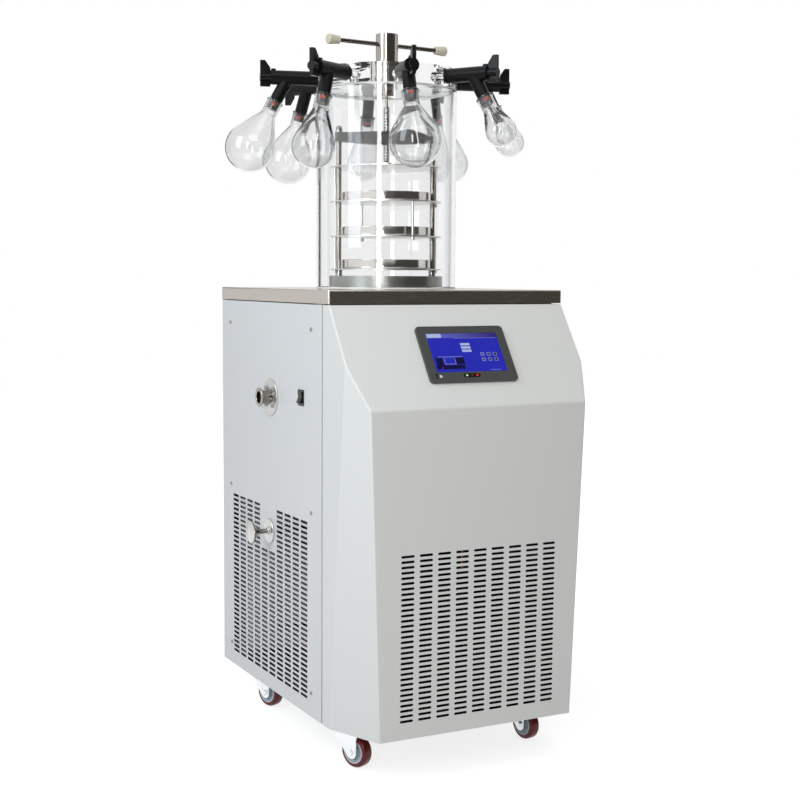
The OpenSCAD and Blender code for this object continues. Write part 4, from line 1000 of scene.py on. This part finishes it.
def field(name, material, u, v, width, height, layer=1):
    """A flat lit field. Its place, width and height are shares of the display, from the top left."""
    centre = ((u - 0.5) * glass_w, glass_up + (0.5 - v) * glass_h, display_top + (layer - 1) * layer_step)
    wide, high = width * glass_w, height * glass_h
    bm = rounded_plate(wide, high, field_thick, min(field_corner, high * 0.45), centre, 3)
    bm.transform(screen_place)
    make_piece(name, bm, material, "root", "screen")


field("header_bar", header_violet, 0.5, 0.062, 0.992, 0.116)
field("header_tab", pale_field, 0.11, 0.06, 0.2, 0.1, 2)
field("header_line", dim_field, 0.68, 0.132, 0.6, 0.01, 2)
for n, v in enumerate((0.29, 0.375, 0.46), 1):
    field(f"button_{n}", pale_field, 0.51, v, 0.133, 0.06)
for row, v in enumerate((0.555, 0.69), 1):
    for column, u in enumerate((0.715, 0.805, 0.895), 1):
        field(f"symbol_{row}_{column}", dim_field, u, v, 0.056, 0.084)
        field(f"symbol_mark_{row}_{column}", dark_field, u, v, 0.036, 0.012 + 0.014 * column, 2)
for name, material, *place_and_size in (
        ("diagram_top", dim_field, 0.25, 0.605, 0.34, 0.016, 1),
        ("diagram_left", dark_field, 0.085, 0.77, 0.09, 0.28, 1),
        ("diagram_notch", dim_field, 0.232, 0.72, 0.155, 0.16, 1),
        ("diagram_core", display_blue, 0.232, 0.714, 0.135, 0.14, 2),
        ("diagram_right", dark_field, 0.37, 0.715, 0.12, 0.17, 1),
        ("diagram_base", dark_field, 0.225, 0.87, 0.39, 0.1, 1),
        ("diagram_lamp", violet_lamp, 0.1, 0.885, 0.014, 0.022, 2),
        ("foot_line", dim_field, 0.84, 0.958, 0.16, 0.012, 1)):
    field(name, material, *place_and_size)
print(len(made), "pieces so far")

# %% Slot, mark and lamps
sunk, strip_y, strip_thick = 0.0001, -0.169, 0.0006
frame_left, frame_foot = -frame_w / 2, -frame_h / 2
bm = rounded_plate(0.003, 0.012, 0.0002, 0.0014, (frame_left + 0.016, frame_foot + 0.014, proud - sunk))
bm.transform(screen_place)
make_piece("card_slot", bm, black_plastic, "root", "black_plastic")
bm = rounded_plate(0.0055, 0.0055, 0.0002, 0.0008, (frame_left + 0.0245, frame_foot + 0.013, proud - sunk))
bm.transform(screen_place)
make_piece("frame_mark", bm, box_plastic, "root", "bezel_plastic")
bm = rounded_plate(0.037, 0.0085, strip_thick, 0.004, (-0.0045, strip_y, proud - sunk))
bm.transform(slope)
soften(make_piece("lamp_strip", bm, black_plastic, "root", "black_plastic"), 0.0002, 2)
for name, colour, strength, x in (("lamp_green", rgb(176, 236, 190), 1.1, -0.016),
                                  ("lamp_dim", rgb(150, 26, 30), 0.7, -0.0045),
                                  ("lamp_red", rgb(236, 50, 44), 1.2, 0.007)):
    bm = rounded_plate(0.0042, 0.0042, 0.0004, 0.002, (x, strip_y, proud - sunk + strip_thick - sunk))
    bm.transform(slope)
    make_piece(name, bm, glowing(name + "_glow", colour, strength), "root", "screen")
print(len(made), "pieces so far")

# %% [markdown]
# ## Casters
#
# Each caster is a bent fork that swivels under a plate, and a wheel with a red tread on a moulded
# core. The wheels are turned shapes, and each one's place and axle are read from its joint.

# %% Wheels and forks
def mirrored(points):
    """The outline, and then the same outline turned over, so that a shape is alike on both faces."""
    return points + [(radius, -height) for radius, height in reversed(points)]


tread_outline = mirrored(millimetres((24.1, 11), (24.7, 11.6), (26.6, 11.8))
                         + arc((0.02655, 0.0056), 0.0062, 88, 8, 7) + millimetres((32.75, 2)))
core_outline = mirrored(millimetres(
    (6.2, 11.9), (6.8, 12.5), (11.2, 12.5), (12, 11.8), (12.2, 9.2), (13, 8.6), (16.4, 8.6), (17, 9.2),
    (17.3, 10.2), (18, 10.6), (19.8, 10.6), (20.8, 11.2), (21.2, 12.2), (22, 12.5), (23.6, 12.4),
    (24.2, 11.5)))
for corner in ("fl", "fr", "rl", "rr"):
    joint = joints[f"roll_{corner}"]
    hub_place = frame_at(Vector(joint["pos_m"]), joint["axis"])
    for part, outline, material in (("tread", tread_outline, tread_rubber),
                                    ("core", core_outline, wheel_core)):
        make_piece(f"{part}_{corner}", lathe(outline, 96, hub_place), material, f"roller_{corner}",
                   "caster_rubber", f"wheel_{corner}")
    refine(f"bent_fork_{corner}", f"fork_{corner}", zinc, f"caster_{corner}", "zinc", 0.0009)
refine("swivel_plates", "caster_plates", zinc, "root", "zinc", 0.0008)
print("wheels of", round(2000 * max(radius for radius, _ in tread_outline), 1), "mm")

# %% [markdown]
# ## Chamber
#
# The chamber is a thick clear tube between two white seals, with a thick clear lid on it. Their
# cut ends are polished and have a fine chamfer. Inside stands the rack: a steel collar, two posts
# with a bar across them, and three shelves with a tray on each. A threaded spindle through the
# bar presses the stack together, so that stoppers on vials go in under vacuum.

# %% Tube, lid and seals
tube_low, tube_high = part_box("chamber_tube")
tube_outer, tube_inner, chamfer = (tube_high.x - tube_low.x) / 2, 0.142, 0.0008
low, high = tube_low.z, tube_high.z
tube_outline = [(tube_inner, low + chamfer), (tube_inner + chamfer, low), (tube_outer - chamfer, low),
                (tube_outer, low + chamfer), (tube_outer, high - chamfer), (tube_outer - chamfer, high),
                (tube_inner + chamfer, high), (tube_inner, high - chamfer)]
make_piece("clear_tube", lathe(tube_outline, 192, Matrix.Translation(axis)), acrylic, "root", "acrylic",
           "chamber_tube", sharp=25)
refine("clear_lid", "lid", acrylic, "root", "acrylic", 0.001, 2)
dress(seal_rubber, "chamber_seals")
dress(bright_steel, "lid_bush")
refine("turned_collar", "trap_collar", collar_steel, "root", "bright_steel", 0.0012)

# %% Rack
refine("rack_posts", "posts", rod_steel, "root", "bright_steel", 0.0006)
refine("cross_bar", "crossbar", bar_steel, "root", "bar_steel", 0.0012)
for name, node, body in (("press_disc", "press_plate", "press"), ("top_shelf", "shelf_1", "upper_shelf"),
                         ("mid_shelf", "shelf_2", "middle_shelf"), ("low_shelf", "shelf_3", "root")):
    refine(name, node, shelf_steel, body, "bright_steel", 0.0004, 2)

# %% Trays
tray_sheet, bend, bend_centre = 0.0012, 0.0035, (0.0925, 0.0035)
bead, bead_centre = 0.0012, (0.0949, 0.0188)
tray_outline = [(0, 0), *arc(bend_centre, bend, -90, 0, 5), *arc(bead_centre, bead, -30, 210, 8),
                *arc(bend_centre, bend - tray_sheet, 0, -90, 5), (0, tray_sheet)]
for n, body in ((1, "upper_shelf"), (2, "middle_shelf"), (3, "root")):
    tray_foot = Matrix.Translation(at_axis(0, 0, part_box(f"tray_{n}")[0].z))
    make_piece(f"pressed_tray_{n}", lathe(tray_outline, 144, tray_foot), tray_steel, body, "tray_steel",
               f"tray_{n}", sharp=50)
print("trays", round(2000 * (bead_centre[0] + bead), 1), "mm wide")

# %% Press screw
screw_low, screw_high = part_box("press_screw")
foot_z, head_z = screw_low.z, screw_high.z
screw_r, root_r, foot_r, lead, turn_steps = 0.007, 0.0052, 0.0045, 0.006, 28
foot_length, first_turn, run_out, crest = 0.012, 0.0145, 0.0175, 0.0003
bm = lathe([(0, foot_z), (foot_r, foot_z), (foot_r, foot_z + foot_length), (root_r, foot_z + foot_length),
            (root_r, head_z), (0, head_z)], 48)
ridge_half = [(root_r - crest, 0.0021), (screw_r - crest, 0.001), (screw_r, 0.0007)]
ridge = [(r, -z) for r, z in ridge_half] + ridge_half[::-1]
cap = bm.faces.new([bm.verts.new((r, 0, foot_z + first_turn + z)) for r, z in ridge])
turns = (head_z - foot_z - run_out) / lead
steps = round(turns * turn_steps)
bmesh.ops.spin(bm, geom=[cap], cent=(0, 0, 0), axis=(0, 0, 1), dvec=(0, 0, lead / turn_steps),
               angle=math.tau * steps / turn_steps, steps=steps, use_merge=False)
bmesh.ops.recalc_face_normals(bm, faces=bm.faces)
bm.transform(Matrix.Translation(axis))
threaded = make_piece("threaded_spindle", bm, screw_steel, "screw", "bar_steel", "press_screw", sharp=30)
# The crests of the thread take the pale steel: a painted highlight along them.
refinish(threaded, flange_steel_and_highlight, lambda spot: (spot - axis).xy.length > screw_r - 0.0004)
print("thread of", round(turns, 1), "turns")

# %% Handle
refine("turned_hub", "handle_hub", hub_steel, "handle", "bright_steel", 0.0008)
refine("cross_handle", "t_bar", dark_rod, "handle", "bright_steel", 0.0005)
bar_low, bar_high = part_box("bar_caps")
bar_height = (bar_low.z + bar_high.z) / 2
cap_outline = [*millimetres((0, 20), (4.6, 20), (4.6, 0.4), (5, 0), (7.6, 0), (8.4, 0.6), (10.2, 20)),
               *arc((0.0072, 0.0247), 0.0033, 0, 90, 6), (0, 0.028)]
bar_turn = math.radians(6)
for name, turn, start in (("right_cap", bar_turn, 0.124), ("left_cap", bar_turn + math.pi, 0.119)):
    along = Vector((math.cos(turn), math.sin(turn), 0))
    cap_place = frame_at(at_axis(0, 0, bar_height) + along * start, along)
    make_piece(name, lathe(cap_outline, 64, cap_place), ivory_plastic, "handle", "ivory_plastic",
               "bar_caps", sharp=40)
print("handle at", round(bar_height, 3), "m")

# %% [markdown]
# ## Valves and flasks
#
# Eight rubber valves stick out of the lid. Each has a barrel, a spout that leans outwards, and a
# knob with a wing. A blown flask hangs on each spout by its ground neck. The flasks come in three
# sizes, and their walls are real: an outer and an inner skin, drawn as one outline.

# %% Valves
refine("moulded_valves", "valve_bodies", valve_rubber, "root", "valve_rubber", 0.0014)
for n in range(1, 9):
    refine(f"winged_knob_{n}", f"knob_{n}", knob_plastic, f"valve_{n}", "valve_rubber", 0.0012)

# %% Outline of a flask
tilts = (26, 30, 27, 18, 24, 19, 29, 18)
sizes = (2, 0, 0, 1, 1, 2, 2, 1)
bulbs = ((0.065, 0.082), (0.088, 0.110), (0.105, 0.112))
spout_radius, spout_length, neck_length = 0.212, 0.056, 0.033
neck_r, bore_r, flask_wall, lip_r, lip_round = 0.0163, 0.0123, 0.002, 0.0185, 0.002
ground_from, mark_from, mark_to = 0.0046, 0.0075, 0.013


def shoulder(radius, neck, length):
    """The angle, in degrees, at which the line from the neck's end touches the bulb."""
    drop = neck_length - length
    return math.degrees(math.atan2(drop, neck) + math.acos(radius / math.hypot(neck, drop)))


def flask_outline(diameter, length):
    """Both skins of a flask. Z runs from its lip down to the bottom of its bulb."""
    outer_r, inner_r = diameter / 2, diameter / 2 - flask_wall
    outer = arc((0, length), outer_r, 90, shoulder(outer_r, neck_r, length), 36)
    inner = arc((0, length), inner_r, shoulder(inner_r, bore_r, length), 90, 36)
    ring = [(neck_r, neck_length + 0.0005), (neck_r + 0.0006, neck_length - 0.0008),
            (neck_r, neck_length - 0.0022)]
    neck = [(neck_r, height) for height in (mark_to, mark_from, ground_from)]
    lip = arc((lip_r - lip_round, lip_round), lip_round, 90, -90, 8)
    bore = [(bore_r + 0.0004, 0), (bore_r, 0.0004), (bore_r, neck_length)]
    return outer + ring + neck + lip + bore + inner


# %% Blow the flasks
def grind_neck(flask, flask_place):
    """Frosts the outside of a flask's neck, and prints a mark on the side that faces the front."""
    flask.data.materials.append(ground_glass)
    flask.data.materials.append(red_mark)
    inside = flask_place.inverted()
    front = (inside.to_3x3() @ to_camera).xy
    frosted = 0
    for face in flask.data.polygons:
        spot = inside @ face.center
        if ground_from < spot.z < neck_length - 0.002 and spot.xy.length > neck_r - 0.0004:
            marked = mark_from < spot.z < mark_to and spot.xy.angle(front) < math.radians(19)
            face.material_index = 2 if marked else 1
            frosted += 1
    print(flask.name, len(flask.data.polygons), "faces,", frosted, "frosted")


for n, (tilt, size) in enumerate(zip(tilts, sizes), 1):
    joint = joints[f"valve_turn_{n}"]
    outwards = Vector(joint["axis"])
    lean = math.radians(tilt)
    down = outwards * math.sin(lean) - up * math.cos(lean)
    rim = at_axis(0, 0, joint["pos_m"][2]) + outwards * spout_radius + down * spout_length
    flask_place = frame_at(rim, down, outwards)
    blown = lathe(flask_outline(*bulbs[size]), 96, flask_place)
    flask = make_piece(f"blown_flask_{n}", blown, flask_glass, "root", "flask_glass", "flasks", sharp=50)
    grind_neck(flask, flask_place)

# %% [markdown]
# ## Inside the cabinet
#
# Little of the refrigeration set can be seen through the grilles, but what can be seen is dark
# machinery, bright copper and pale insulation. These solids keep their own shape.

# %% Inner finishes
dress(frame_steel, "base_frame")
dress(box_plastic, "electrical_box")
dress(black_paint, "compressor", "fan_mount")
dress(fin_aluminium, "condenser")
dress(fan_plastic, "fan_blades")
dress(foam_skin, "trap_insulation")
dress(bright_steel, "cold_trap")
dress(copper, "pipework")
dress(black_plastic, "power_inlet")
print(len(made), "new pieces over", len(frame["nodes"]), "solids")

# %% [markdown]
# ## Finish
#
# The lens shows colours as they are.

scene.view_settings.view_transform = "Standard"
